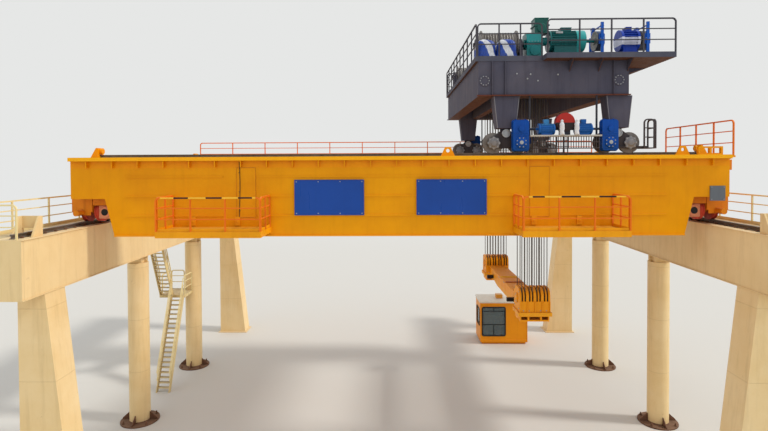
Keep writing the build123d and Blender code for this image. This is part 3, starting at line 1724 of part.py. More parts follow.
with BuildPart() as upper_blocks:
    for row_y in machine_rows:
        with Locations((fall_centre, row_y, (upper_sheave_height - 200 + trolley_frame_top) / 2)):
            with GridLocations(2 * plate_offset, 0, 2, 1):
                Box(upper_plate_width, 500, trolley_frame_top - upper_sheave_height + 200)
        with BuildSketch(Plane.YZ.offset(fall_centre)):
            with Locations((row_y, upper_sheave_height)):
                Circle(sheave_bore / 2)
        extrude(amount=plate_offset, both=True)
save(upper_blocks.part, "upper_blocks")

sheave_lines = [(fall_centre + x, row_y) for row_y in machine_rows for x in slot_offsets]
upper_sheaves = [sheave((x, y, upper_sheave_height)) for x, y in sheave_lines]
lower_sheaves = [sheave((x, y, lower_sheave_height)) for x, y in sheave_lines]
save(Compound(upper_sheaves), "upper_sheaves")
save(Compound(lower_sheaves), "lower_sheaves")

# Lower blocks: a slotted housing with a ledge and a foot with three openings
foot_top = block_bottom - ledge_thickness


def lower_block(row_y, outward):
    """One block: a crowned housing cut by the sheave slots, a ledge and a foot with three openings."""
    left = fall_centre - block_width / 2
    crown = hoop(block_depth, block_top - block_bottom, block_crown)
    with BuildPart() as block:
        with BuildSketch(Plane.YZ.offset(left)):
            with Locations((row_y, block_bottom)):
                add(crown)
        extrude(amount=block_width)
        ledge_y = row_y + outward * ledge_overhang / 2
        with Locations((fall_centre, ledge_y, block_bottom - ledge_thickness / 2)):
            Box(block_width + 2 * ledge_overhang, block_depth + ledge_overhang, ledge_thickness)
        with Locations((fall_centre, row_y, foot_top - foot_height / 2)):
            Box(block_width - 60, block_depth - 60, foot_height)
        for slot in slot_offsets:
            with Locations((fall_centre + slot, row_y, block_top)):
                Box(slot_width, 2 * block_depth, 2 * slot_depth, mode=Mode.SUBTRACT)
            with BuildSketch(Plane.YZ.offset(fall_centre + slot)):
                with Locations((row_y, lower_sheave_height)):
                    Circle(sheave_diameter / 2 + slot_clearance)
            extrude(amount=slot_width / 2, both=True, mode=Mode.SUBTRACT)
        for opening_x, opening_width in ((-420, 260), (0, 440), (420, 260)):
            with Locations((fall_centre + opening_x, row_y, foot_top - foot_opening_height / 2 - 40)):
                Box(opening_width, 2 * block_depth, foot_opening_height, mode=Mode.SUBTRACT)
        rib_height = block_top - slot_depth - block_bottom
        for rib_x in (-600, -300, 0, 300, 600):
            rib_y = row_y + outward * block_depth / 2
            with Locations((fall_centre + rib_x, rib_y, block_bottom + rib_height / 2)):
                Box(block_rib_width, 2 * block_rib, rib_height)
        with BuildSketch(Plane.YZ.offset(fall_centre)):
            with Locations((row_y, lower_sheave_height)):
                Circle(cheek_bore_radius)
        extrude(amount=block_width / 2, both=True, mode=Mode.SUBTRACT)
        with BuildSketch(Plane.YZ.offset(fall_centre)):
            with Locations((row_y, lower_sheave_height)):
                Circle(cheek_bore_radius)
        extrude(amount=block_width / 2 - cheek_bore_depth, both=True)
        for slot in slot_offsets:
            with BuildSketch(Plane.YZ.offset(fall_centre + slot)):
                with Locations((row_y, lower_sheave_height)):
                    Circle(cheek_bore_radius)
            extrude(amount=slot_width / 2, both=True, mode=Mode.SUBTRACT)
        with BuildSketch(Plane.YZ.offset(fall_centre)):
            with Locations((row_y, lower_sheave_height)):
                Circle(sheave_bore / 2)
        extrude(amount=block_width / 2, both=True)
    return block.part

save(lower_block(machine_rows[0], -1), "lower_block_front")
save(lower_block(machine_rows[1], 1), "lower_block_back")

# Rope falls between the two rows of sheaves
fall_reach = sheave_diameter / 2 - sheave_groove + rope_diameter / 2 + running_gap
with BuildPart() as ropes:
    with BuildSketch(Plane.XY.offset(lower_sheave_height)):
        for row_y in machine_rows:
            for slot in slot_offsets:
                for reach in (-fall_reach, fall_reach):
                    with Locations((fall_centre + slot, row_y + reach)):
                        RegularPolygon(rope_diameter / 2, 6, rotation=30)
    extrude(amount=upper_sheave_height - lower_sheave_height)
save(ropes.part, "hoist_ropes")

# Lifting beam between the lower blocks, deeper in the middle
beam_reach = hoist_row - block_depth / 2
with BuildPart() as lifting_beam:
    with BuildSketch(Plane.YZ.offset(fall_centre)):
        with BuildLine():
            Polyline(
                (bridge_centre - beam_reach, beam_top),
                (bridge_centre + beam_reach, beam_top),
                (bridge_centre + beam_reach, beam_top - beam_end_depth),
                (bridge_centre + beam_mid_reach, beam_top - beam_mid_depth),
                (bridge_centre - beam_mid_reach, beam_top - beam_mid_depth),
                (bridge_centre - beam_reach, beam_top - beam_end_depth),
                close=True,
            )
        make_face()
    extrude(amount=beam_width / 2, both=True)
    with BuildSketch(Plane.XY.offset(beam_top - beam_flange)):
        with Locations((fall_centre, bridge_centre)):
            Rectangle(beam_width + 2 * beam_flange_overhang, 2 * beam_reach)
    extrude(amount=beam_flange)
    for plate_y in beam_cross_plates:
        with Locations((fall_centre, bridge_centre + plate_y, beam_top + beam_cross_plate_height / 2)):
            Box(beam_width, beam_cross_plate_width, beam_cross_plate_height)
save(lifting_beam.part, "lifting_beam")

with BuildPart() as trunnions:
    for side in (-1, 1):
        for end in (-1, 1):
            trunnion_x = fall_centre + side * (beam_width + trunnion_reach) / 2
            with Locations((trunnion_x, bridge_centre + end * trunnion_offset, trunnion_height)):
                Box(trunnion_reach, trunnion_side, trunnion_side)
save(trunnions.part, "lifting_trunnions")
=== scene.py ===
from itertools import product
from math import cos, pi, radians, sin

import bmesh
import bpy
import numpy as np
from mathutils import Euler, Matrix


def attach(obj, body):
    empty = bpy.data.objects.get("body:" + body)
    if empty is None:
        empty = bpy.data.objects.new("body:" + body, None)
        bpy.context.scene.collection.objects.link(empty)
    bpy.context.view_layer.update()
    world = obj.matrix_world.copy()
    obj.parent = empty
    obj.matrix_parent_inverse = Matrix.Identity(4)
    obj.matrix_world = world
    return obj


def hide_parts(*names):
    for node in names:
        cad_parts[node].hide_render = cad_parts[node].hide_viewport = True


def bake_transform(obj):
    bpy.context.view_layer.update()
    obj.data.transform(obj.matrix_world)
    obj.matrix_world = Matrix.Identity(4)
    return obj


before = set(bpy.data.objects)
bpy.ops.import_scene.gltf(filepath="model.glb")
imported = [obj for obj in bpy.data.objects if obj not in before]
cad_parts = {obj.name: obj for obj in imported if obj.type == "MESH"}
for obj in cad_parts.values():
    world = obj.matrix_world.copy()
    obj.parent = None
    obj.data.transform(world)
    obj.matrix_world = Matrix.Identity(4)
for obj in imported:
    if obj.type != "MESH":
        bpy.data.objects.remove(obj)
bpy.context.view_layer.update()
scene = bpy.context.scene

# The viewpoint: a lens of moderate width held 12 m above the floor, just outside the runway's near end.
# It looks slightly down and a little to the left, with a small downward shift that keeps the columns upright.
focal_pixels = 519.5
image_width = 768.0
shift_pixels = -40.2
lens = bpy.data.cameras.new("viewpoint")
lens.sensor_width = 36.0
lens.lens = lens.sensor_width * focal_pixels / image_width
lens.shift_y = shift_pixels / image_width
lens.clip_end = 600.0
camera = bpy.data.objects.new("viewpoint", lens)
camera.location = (-0.146, -27.204, 11.862)
camera.rotation_euler = Euler((radians(90 - 1.146), radians(0.275), radians(0.945)), "XYZ")
scene.collection.objects.link(camera)
scene.camera = camera
scene.view_settings.view_transform = "Standard"


# The floor and the light: a plain pale floor that runs out into the background, one soft sun from the right and
# a little in front, and an even sky. Far off, the floor takes the background's colour; near, it keeps shadow.
def linear(hex_colour):
    """Turn an sRGB hex colour into the linear values that a shader takes."""
    value = np.array([int(hex_colour[i : i + 2], 16) for i in (1, 3, 5)]) / 255.0
    value = np.where(value <= 0.04045, value / 12.92, ((value + 0.055) / 1.055) ** 2.4)
    return (*value.tolist(), 1)


def add_node(tree, kind, settings=None, links=None):
    """Add one shader node; settings and links go by property name, socket name or socket number, and a link
    from a node means its first output."""
    node = tree.nodes.new("ShaderNode" + kind)
    for key, value in (settings or {}).items():
        if isinstance(key, int) or key in node.inputs:
            node.inputs[key].default_value = value
        else:
            setattr(node, key, value)
    for key, source in (links or {}).items():
        tree.links.new(source.outputs[0] if isinstance(source, bpy.types.Node) else source, node.inputs[key])
    return node


def blank_finish(name):
    """A material with an empty node tree, that tree, and the object's own coordinates in it."""
    material = bpy.data.materials.new(name)
    material.use_nodes = True
    tree = material.node_tree
    tree.nodes.clear()
    return material, tree, add_node(tree, "TexCoord").outputs["Object"]


def full_turn(count):
    """Evenly spaced angles round a full circle, without the last, which is the first again."""
    return np.linspace(0, 2 * pi, count + 1)[:-1]


def loft(rings, capped=True):
    """Skin rings of points, an array (rings, points, 3), with quads, and close the first and last ring flat."""
    count, around = rings.shape[:2]
    start = np.arange(count - 1)[:, None] * around
    here = np.arange(around)[None, :]
    after = (here + 1) % around
    quads = np.stack([start + here, start + after, start + around + after, start + around + here], axis=-1)
    faces = quads.reshape(-1, 4).tolist()
    if capped:
        faces.append(list(range(around))[::-1])
        faces.append((np.arange(around) + (count - 1) * around).tolist())
    return rings.reshape(-1, 3), faces


def closed_loft(rings):
    """Skin rings with quads and join the last ring to the first, as for a frame or a ring of rope."""
    points, faces = loft(np.concatenate([rings, rings[:1]]), capped=False)
    last = len(points) - rings.shape[1]
    return points[:last], [[corner % last for corner in face] for face in faces]


def joined(shapes):
    """Several shapes as one."""
    points = np.concatenate([shape[0] for shape in shapes])
    faces = []
    offset = 0
    for shape_points, shape_faces in shapes:
        faces += [[corner + offset for corner in face] for face in shape_faces]
        offset += len(shape_points)
    return points, faces


def repeated(shape, places):
    """A copy of one shape at each of the places, an array (copies, 3)."""
    points, faces = shape
    places = np.asarray(places, dtype=float).reshape(-1, 3)
    moved = (points[None, :, :] + places[:, None, :]).reshape(-1, 3)
    copies = [[corner + index * len(points) for corner in face] for index in range(len(places)) for face in faces]
    return moved, copies


def lattice(xs=(0,), ys=(0,), zs=(0,)):
    """Every combination of the given x, y and z, an array (count, 3)."""
    return np.stack(np.meshgrid(xs, ys, zs, indexing="ij"), axis=-1).reshape(-1, 3)


def mirrored(shapes, middle=(0, 0), sides=(-1, 1), ends=(-1, 1)):
    """Shapes built on the right and at the back, with their mirror images about the middle's x and y: each
    point is middle + (point - middle) * (side, end, 1)."""
    points, faces = joined(shapes)
    middle = np.array([*middle, 0])
    return joined([(middle + (points - middle) * (side, end, 1), faces) for side, end in product(sides, ends)])


def add_piece(name, shapes, material, body, smooth=False):
    """Make a mesh of shapes, faces outward, in one material, and hang it on its body."""
    points, faces = joined(shapes)
    mesh = bpy.data.meshes.new(name)
    mesh.from_pydata(points.tolist(), [], faces)
    shell = bmesh.new()
    shell.from_mesh(mesh)
    bmesh.ops.recalc_face_normals(shell, faces=shell.faces)
    shell.to_mesh(mesh)
    shell.free()
    mesh.materials.append(material)
    mesh.polygons.foreach_set("use_smooth", [smooth] * len(mesh.polygons))
    if smooth:
        mesh.set_sharp_from_angle(angle=radians(38))
    piece = bpy.data.objects.new(name, mesh)
    scene.collection.objects.link(piece)
    if body:
        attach(piece, body)
    return piece


backdrop_colour = "#E6E7E6"
floor_radius = np.array([0, 12, 24, 40, 60, 90, 140, 300])
floor_turn = full_turn(64)
# A flat disc: each ring is radius times (cosine, sine, 0) of the turn.
disc = [np.outer(floor_radius, wave) for wave in (np.cos(floor_turn), np.sin(floor_turn), 0 * floor_turn)]
floor_finish, tree, place = blank_finish("smooth_pale_concrete")
distance = add_node(tree, "VectorMath", {"operation": "LENGTH"}, {0: place}).outputs["Value"]
fade_range = {"interpolation_type": "SMOOTHSTEP", "From Min": 34, "From Max": 110}
fading = add_node(tree, "MapRange", fade_range, {"Value": distance})
concrete = add_node(tree, "BsdfPrincipled", {"Base Color": linear("#D2CFC8"), "Roughness": 0.85})
glow = add_node(tree, "Emission", {"Color": linear(backdrop_colour), "Strength": 1})
surface = add_node(tree, "MixShader", {}, {0: fading, 1: concrete, 2: glow})
add_node(tree, "OutputMaterial", {}, {"Surface": surface})
add_piece("floor", [loft(np.stack(disc, axis=-1), capped=False)], floor_finish, None)

sky = bpy.data.worlds.new("even_sky")
sky.use_nodes = True
tree = sky.node_tree
tree.nodes.clear()
ray = add_node(tree, "LightPath").outputs
seen = add_node(tree, "Math", {"operation": "MAXIMUM"}, {0: ray["Is Camera Ray"], 1: ray["Is Glossy Ray"]})
seen = add_node(tree, "Math", {"operation": "MAXIMUM"}, {0: seen, 1: ray["Is Transmission Ray"]})
lighting = add_node(tree, "Background", {"Color": linear("#F1F4F8"), "Strength": 0.88})
shown = add_node(tree, "Background", {"Color": linear(backdrop_colour), "Strength": 1})
surface = add_node(tree, "MixShader", {}, {0: seen, 1: lighting, 2: shown})
add_node(tree, "OutputWorld", {}, {"Surface": surface})
scene.world = sky

sun_lamp = bpy.data.lights.new("soft_sun", "SUN")
sun_lamp.energy = 1.8
sun_lamp.angle = radians(7)
sun_lamp.color = (1, 0.975, 0.93)
sun = bpy.data.objects.new("soft_sun", sun_lamp)
sun.rotation_euler = Euler((radians(46), 0, radians(82)), "XYZ")
scene.collection.objects.link(sun)


# Runway: welded box beams, round columns and tapered end legs under weathered cream oil paint, brushed on.
# The paint has gone chalky in broad patches, runs dark below the edges and lets rust through in small spots.
def dress(material, *nodes):
    """Give CAD nodes their finish."""
    for node in nodes:
        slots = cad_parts[node].data.materials
        slots.clear()
        slots.append(material)


def painted_steel(
    name, fresh, faded, soil, on=(), soiling=0.35, rust="#7C4A2B", rusting=0.25, dust="#B8AD9A", dusting=0.3,
    roughness=(0.38, 0.62), areas=(), metallic=0, seam=None, underside_shade=None, tread=0, shine=0.22,
):
    """Brushed paint on plate, on the named CAD nodes: broad fading, dark runs down the sides, painted shade in
    corners and recesses, rust spots, and dust on upward faces. areas are boxes in metres, each with the colour laid
    over it: other paint, and on the girders and the trolley's front beam painted light. seam is the axis number and
    pitch of butt welds, underside_shade the colour of painted shade and bounced light on downward faces, tread the
    height of lozenges on floor plate and shine the strength of the reflection."""
    material, tree, place = blank_finish(name)
    upward = add_node(tree, "SeparateXYZ", {}, {0: add_node(tree, "NewGeometry").outputs["Normal"]}).outputs[2]
    patches = add_node(tree, "TexNoise", {"Scale": 0.55, "Detail": 5, "Roughness": 0.62}, {"Vector": place})
    fading = add_node(tree, "MapRange", {"From Min": 0.36, "From Max": 0.68}, {"Value": patches})
    # Each layer is a mask and the colour that it lays over those before it.
    layers = []
    # Downward faces take the underside colour: painted shade and bounced light.
    if underside_shade:
        underside_shade_mask = add_node(tree, "MapRange", {"From Min": -0.5, "From Max": -0.8}, {"Value": upward})
        layers.append((underside_shade_mask, underside_shade))
    for low, high, hue in areas:
        centre = (np.add(low, high) / 2).tolist()
        reach = (np.subtract(high, low) / 2).tolist()
        centred = add_node(tree, "VectorMath", {"operation": "SUBTRACT", 1: centre}, {0: place})
        folded = add_node(tree, "VectorMath", {"operation": "ABSOLUTE"}, {0: centred})
        outside = add_node(tree, "VectorMath", {"operation": "SUBTRACT", 1: reach}, {0: folded})
        sides = add_node(tree, "SeparateXYZ", {}, {0: outside}).outputs
        widest = add_node(tree, "Math", {"operation": "MAXIMUM"}, {0: sides[0], 1: sides[1]})
        widest = add_node(tree, "Math", {"operation": "MAXIMUM"}, {0: widest, 1: sides[2]})
        layers.append((add_node(tree, "Math", {"operation": "LESS_THAN", 1: 0}, {0: widest}), hue))
    stretched = add_node(tree, "Mapping", {"Scale": (4.5, 4.5, 0.4)}, {"Vector": place})
    runs = add_node(tree, "TexNoise", {"Scale": 1, "Detail": 7, "Roughness": 0.66}, {"Vector": stretched})
    # Corners and recesses that ambient occlusion finds darken toward the soil colour: painted shade.
    corners = add_node(tree, "AmbientOcclusion", {"samples": 4, "Distance": 0.4}).outputs["AO"]
    spots = add_node(tree, "TexNoise", {"Scale": 2.7, "Detail": 12, "Roughness": 0.74}, {"Vector": place})
    for value, start, end, least, most, hue in (
        (runs, 0.5, 0.8, 0, soiling, soil),
        (corners, 0.35, 0.85, 0.5 * soiling + 0.12, 0, soil),
        (spots, 0.62, 0.72, 0, rusting, rust),
        (upward, 0.45, 0.95, 0, dusting, dust),
    ):
        limits = {"From Min": start, "From Max": end, "To Min": least, "To Max": most}
        layers.append((add_node(tree, "MapRange", limits, {"Value": value}), hue))
    grit = add_node(tree, "TexNoise", {"Scale": 22, "Detail": 6, "Roughness": 0.6}, {"Vector": place})
    limits = {"From Min": 0.3, "From Max": 0.7, "To Min": roughness[0], "To Max": roughness[1]}
    sheen = add_node(tree, "MapRange", limits, {"Value": runs})
    # Each bump is its strength, its depth in metres and its height map.
    bumps = [(0.25, 0.004, grit), (0.3, 0.03, patches)]
    if seam:
        axis, pitch = seam
        along = add_node(tree, "SeparateXYZ", {}, {0: place}).outputs[axis]
        wrapped = add_node(tree, "Math", {"operation": "PINGPONG", 1: pitch / 2}, {0: along})
        weld = add_node(tree, "MapRange", {"From Min": 0.022, "From Max": 0.008}, {"Value": wrapped})
        layers.append((add_node(tree, "Math", {"operation": "MULTIPLY", 1: 0.14}, {0: weld}), soil))
        bumps.append((0.6, 0.008, weld))
    if tread:
        # Lozenges 60 mm apart, drawn at twice the real 30 mm so that they show.
        lozenge_grid = {"Rotation": (0, 0, pi / 4), "Scale": (pi / 0.06,) * 3}
        waves = add_node(tree, "Mapping", lozenge_grid, {"Vector": place})
        waves = add_node(tree, "VectorMath", {"operation": "SINE"}, {0: waves})
        waves = add_node(tree, "SeparateXYZ", {}, {0: waves}).outputs
        crossing = add_node(tree, "Math", {"operation": "MULTIPLY"}, {0: waves[0], 1: waves[1]})
        lozenge = add_node(tree, "MapRange", {"From Min": 0.45, "From Max": 0.75}, {"Value": crossing})
        level = add_node(tree, "Math", {"operation": "ABSOLUTE"}, {0: upward})
        level = add_node(tree, "Math", {"operation": "GREATER_THAN", 1: 0.8}, {0: level})
        raised = add_node(tree, "Math", {"operation": "MULTIPLY"}, {0: lozenge, 1: level})
        layers.append((add_node(tree, "Math", {"operation": "MULTIPLY", 1: 0.35}, {0: raised}), dust))
        bumps.append((0.8, tread, raised))
    colours = {"data_type": "RGBA", 6: linear(fresh), 7: linear(faded)}
    colour = add_node(tree, "Mix", colours, {0: fading}).outputs[2]
    for mask, hue in layers:
        colour = add_node(tree, "Mix", {"data_type": "RGBA", 7: linear(hue)}, {0: mask, 6: colour}).outputs[2]
    relief = {}
    for strength, depth, height in bumps:
        heights = {"Height": height, **relief}
        relief = {"Normal": add_node(tree, "Bump", {"Strength": strength, "Distance": depth}, heights)}
    gloss = {"Metallic": metallic, "Specular IOR Level": shine}
    shader = add_node(tree, "BsdfPrincipled", gloss, {"Base Color": colour, "Roughness": sheen, **relief})
    add_node(tree, "OutputMaterial", {}, {"Surface": shader})
    dress(material, *on)
    return material


# Brushed alkyd paint gone dull: no clear highlight, brown runs, and a weld line where each 3.8 m plate ends.
painted_steel(
    "weathered_cream_oil_paint", "#F2D6A0", "#EACB92", "#9A7648",
    ("runway_beam_left", "runway_beam_right", "runway_stops"),
    soiling=0.22, rusting=0.22, dust="#D8CBB0", seam=(1, 3.8),
)
painted_steel(
    "cream_paint_on_rolled_shell", "#F2D6A2", "#EACA90", "#967648",
    ("columns_left", "columns_right", "end_legs_left", "end_legs_right"),
    soiling=0.22, rusting=0.22, dust="#D8CBB0", seam=(2, 2.4),
)
rusty_plate = painted_steel(
    "rusty_base_plate", "#6E4A36", "#85604A", "#3B2A22", ("column_bases",),
    soiling=0.6, rust="#8A4A24", rusting=0.8, dust="#8F7C68", roughness=(0.7, 0.9),
)


# Walkways, railings and the stair: folded floor plate on brackets and bent tube, welded and painted like the
# runway. The plate has raised lozenges, its paint is trodden through, and dust lies on it.
painted_steel(
    "cream_paint_on_floor_plate", "#E4CE96", "#D9BF84", "#7A6140",
    ("runway_walkways", "stair_lower_flight", "stair_upper_flight", "stair_landing"),
    soiling=0.45, rusting=0.45, dust="#B3A283", dusting=0.6, tread=0.006,
)
tube_paint = painted_steel(
    "cream_paint_on_bent_tube", "#F2E0A8", "#E8D296", "#8F7348", ("runway_railings", "stair_railings"),
    soiling=0.3, rusting=0.35, dust="#DCCB9E",
)


def bar(low, high, bevel):
    """A flat bar with bevelled edges between two corners, given in any order: a rectangle with cut corners
    carried up through four heights, drawn in by the bevel at the first and the last."""
    low, high = np.sort(np.array([low, high], dtype=float), axis=0)
    half = (high - low) / 2
    inset = np.array([bevel, 0, 0, bevel])
    across = (half[0] - inset)[:, None]
    deep = (half[1] - inset)[:, None]
    cut = bevel
    corner_x = np.hstack([across, across, across - cut, cut - across, -across, -across, cut - across, across - cut])
    corner_y = np.hstack([cut - deep, deep - cut, deep, deep, deep - cut, cut - deep, -deep, -deep])
    heights = np.array([-half[2], bevel - half[2], half[2] - bevel, half[2]])[:, None]
    rings = np.stack([corner_x, corner_y, np.broadcast_to(heights, corner_x.shape)], axis=-1)
    return loft(rings + (low + high) / 2)


def bars(*table):
    """Bevelled bars as one shape, each given by its two corners and its bevel."""
    return joined([bar(*row) for row in table])


# Toe boards stand on the walkways' outer edges, and a small square foot is welded under each railing post.
toe_boards = bars(
    ((13.215, -11.44, 9.6), (13.222, 11.44, 9.72), 0.002),
    ((-13.222, -11.44, 9.6), (-13.215, -0.6, 9.72), 0.002),
    ((-13.222, 1.2, 9.6), (-13.215, 11.44, 9.72), 0.002),
)
post_foot = bar((13.2, -0.06, 9.6), (13.296, 0.06, 9.614), 0.004)
post_feet = repeated(post_foot, lattice(ys=np.linspace(-11.4, 11.4, 13)))
add_piece("walkway_toe_boards", [toe_boards, post_feet], tube_paint, "stand")


# Rail clips and foundation fastenings: forged clips that hold both sides of each rail's foot, and anchor studs
# with hexagon nuts through the column bases. Bare steel that has rusted dark brown, screwed down.
def turned(profile, axis, centre=(0, 0, 0), around=24):
    """A shape turned about an axis through the centre: each (along, radius) pair of the profile gives the ring
    centre + along · axis + radius · (cosine · side + sine · other side)."""
    axis = np.asarray(axis, dtype=float)
    side = np.cross(axis, (0, 0, 1) if abs(axis[2]) < 0.9 else (1, 0, 0))
    turn = full_turn(around)
    spokes = np.outer(np.cos(turn), side) + np.outer(np.sin(turn), np.cross(axis, side))
    profile = np.asarray(profile, dtype=float)
    return loft(np.asarray(centre) + profile[:, :1, None] * axis + profile[:, 1:, None] * spokes)


def bolts(places, axis, size):
    """Hexagon heads on washers at each place: a profile that steps from the washer to the head and ends in a
    small chamfer, turned in six."""
    head = np.array([(0, 1.35), (0.18, 1.35), (0.2, 1), (0.85, 1), (1, 0.82)])
    return repeated(turned(head * size, axis, around=6), places)


def bolt_circle(centre, axis, radius, count, size, start=0):
    """Bolts at even steps on an upright circle: centre + radius · (cosine · sideways + sine · up)."""
    turn = start + full_turn(count)
    sideways = (0, 1, 0) if axis[0] else (1, 0, 0)
    circle = np.outer(np.cos(turn), sideways) + np.outer(np.sin(turn), (0, 0, 1))
    return bolts(np.asarray(centre) + radius * circle, axis, size)


runway_clip = [
    bars(((0.08, -0.04, 0), (0.16, 0.04, 0.045), 0.006), ((0.056, -0.03, 0.021), (0.09, 0.03, 0.043), 0.005)),
    bolts([(0.122, 0, 0.045)], (0, 0, 1), 0.02),
]
clip_places = lattice((-12, 12), np.arange(-11, 11.01, 0.55), (9.6,))
add_piece("runway_rail_clips", [repeated(mirrored(runway_clip, ends=(1,)), clip_places)], rusty_plate, "stand")
anchor_places = lattice((-12.53, -11.47, 11.47, 12.53), (-3.85, -2.79, 2.79, 3.85), (0.05,))
anchor_stud = joined([
    turned([(0, 0.062), (0.012, 0.062), (0.013, 0.028), (0.13, 0.028), (0.138, 0.02)], (0, 0, 1), around=12),
    bolts([(0, 0, 0.012)], (0, 0, 1), 0.045),
])
add_piece("anchor_studs", [repeated(anchor_stud, anchor_places)], rusty_plate, "stand")
base_collar = turned([(0, 0.49), (0.03, 0.475), (0.04, 0.456)], (0, 0, 1), around=48)
base_collars = repeated(base_collar, lattice((-12, 12), (-3.32, 3.32), (0.05,)))
add_piece("column_base_welds", [base_collars], rusty_plate, "stand", True)
painted_steel(
    "rolled_rail_steel", "#6A625C", "#857C74", "#3E342D", ("crane_rails", "trolley_rails"),
    soiling=0.5, rusting=0.6, dust="#A39B92", dusting=0.7, roughness=(0.3, 0.5), metallic=0.6,
)


# Cab: a welded housing of thin sheet on skids, sprayed in orange enamel, with windows in black rubber and bars.
# The bars and the frame are painted flat bar screwed to the sheet; the roof is coated white against the sun.
cab_enamel = painted_steel(
    "orange_enamel_on_sheet", "#F49C0A", "#EC9208", "#94560C", ("cab_shell",),
    soiling=0.25, rusting=0.05, dust="#E8B060", dusting=0.2, roughness=(0.3, 0.45),
)
painted_steel(
    "white_coat_on_roof_sheet", "#EDE8DC", "#E2DCCD", "#8F8A7E", ("cab_roof",),
    rusting=0.1, dust="#DCD2C0", areas=(((6.7, 7.6, 2.836), (7.3, 8.3, 3.2), "#E89A18"),),
)
# Clear glass over a dim cab: mostly a dark grey-green with the bright sky on it, and smears that dull it.
pane, tree, place = blank_finish("clear_toughened_glass")
smear = add_node(tree, "TexNoise", {"Scale": 1.6, "Detail": 4}, {"Vector": place})
smear = add_node(tree, "MapRange", {"To Min": 0.03, "To Max": 0.22}, {"Value": smear})
clear = {"Base Color": linear("#7C8F93"), "IOR": 1.5, "Transmission Weight": 0.6}
shader = add_node(tree, "BsdfPrincipled", clear, {"Roughness": smear})
add_node(tree, "OutputMaterial", {}, {"Surface": shader})
dress(pane, "cab_glass")


def rounded_rectangle(width, height, corner, steps=6):
    """The outline of a rectangle with round corners, as an array (points, 2), anticlockwise."""
    turn = np.linspace(0, pi / 2, steps)
    quarter = corner * np.stack([np.cos(turn), np.sin(turn)], axis=-1)
    half = np.array([width / 2 - corner, height / 2 - corner])
    outline = []
    for index, signs in enumerate(((1, 1), (-1, 1), (-1, -1), (1, -1))):
        spin = index * pi / 2
        turning = np.array([[cos(spin), sin(spin)], [-sin(spin), cos(spin)]])
        outline.append(quarter @ turning + half * signs)
    return np.concatenate(outline)


def frame_round(width, height, corner, section):
    """A frame of closed section round a rounded rectangle: each (out, up) pair of the section gives a ring of the
    outline grown by out and raised by up, and the last ring is joined to the first."""
    rings = []
    for out, up in section:
        outline = rounded_rectangle(width + 2 * out, height + 2 * out, max(corner + out, 0.004))
        rings.append(np.column_stack([outline, np.full(len(outline), up)]))
    return closed_loft(np.stack(rings))


def upright(shape, centre, facing):
    """Stand a flat shape up: its x goes along X or Y, its y goes up, and its z goes out along facing."""
    points, faces = shape
    facing = np.asarray(facing, dtype=float)
    sideways = np.cross((0, 0, 1), facing)
    placed = points[:, :1] * sideways + points[:, 1:2] * (0, 0, 1) + points[:, 2:] * facing
    return placed + np.asarray(centre), faces


gasket_section = ((-0.035, 0), (-0.035, 0.02), (-0.01, 0.034), (0.03, 0.034), (0.045, 0))
gasket_rubber = painted_steel(
    "black_window_rubber", "#222426", "#2C2E30", "#141414",
    soiling=0.3, rusting=0, dust="#6A6862", dusting=0.4, roughness=(0.6, 0.8),
)
window_bars = bars(
    ((5.75, 7, 2.14), (7.23, 7.028, 2.18), 0.004), ((5.75, 7, 1.26), (7.23, 7.028, 1.31), 0.004),
    ((6.47, 7, 0.56), (6.51, 7.028, 1.27), 0.004), ((6.47, 7, 2.17), (6.51, 7.028, 2.42), 0.004),
)
front_window = upright(frame_round(1.5, 1.88, 0.09, gasket_section), (6.49, 7, 1.49), (0, -1, 0))
side_window = upright(frame_round(1.1, 1.1, 0.09, gasket_section), (5.62, 7.925, 1.67), (-1, 0, 0))
add_piece("cab_window_rubbers", [front_window, side_window, window_bars], gasket_rubber, "stand", True)
# The driver's seat and the two desks stand on the cab's floor, dark behind the glass.
seat_and_desks = bars(
    ((6.6, 7.75, 0.62), (7.15, 8.25, 0.74), 0.04), ((6.62, 8.2, 0.74), (7.13, 8.32, 1.45), 0.05),
    ((6.78, 7.9, 0.18), (6.97, 8.1, 0.63), 0.02), ((6.15, 7.45, 0.18), (6.5, 8.2, 0.95), 0.03),
    ((7.25, 7.45, 0.18), (7.6, 8.2, 0.95), 0.03),
)
add_piece("cab_seat_and_desks", [seat_and_desks], gasket_rubber, "stand")
door_bars = bars(
    ((8.69, 7.52, 0.18), (8.7, 7.56, 2.25), 0.003), ((8.69, 8.29, 0.18), (8.7, 8.33, 2.25), 0.003),
    ((8.69, 7.52, 2.22), (8.7, 8.33, 2.26), 0.003), ((8.7, 8.15, 1.15), (8.73, 8.18, 1.4), 0.008),
)
handle_foot = turned([(0, 0.03), (0.03, 0.03), (0.034, 0.02)], (1, 0, 0), around=16)
handle_feet = repeated(handle_foot, lattice((8.69,), (8.165,), (1.2, 1.35)))
hinge = turned([(-0.07, 0.012), (-0.07, 0.018), (0.07, 0.018), (0.07, 0.012)], (0, 0, 1), around=12)
hinges = repeated(hinge, lattice((8.7,), (7.53,), (0.6, 1.8)))
add_piece("cab_door_fittings", [door_bars, handle_feet, hinges], gasket_rubber, "stand")
corner_bars = bars(
    ((5.6, 6.98, 0.5), (5.63, 7.01, 2.72), 0.008), ((8.67, 6.98, 0.12), (8.7, 7.01, 2.72), 0.008),
    ((5.6, 6.975, 2.58), (8.7, 7.005, 2.72), 0.008), ((5.62, 6.98, 0.14), (8.69, 7.004, 0.3), 0.006),
)
add_piece("cab_corner_bars", [corner_bars], cab_enamel, "stand")
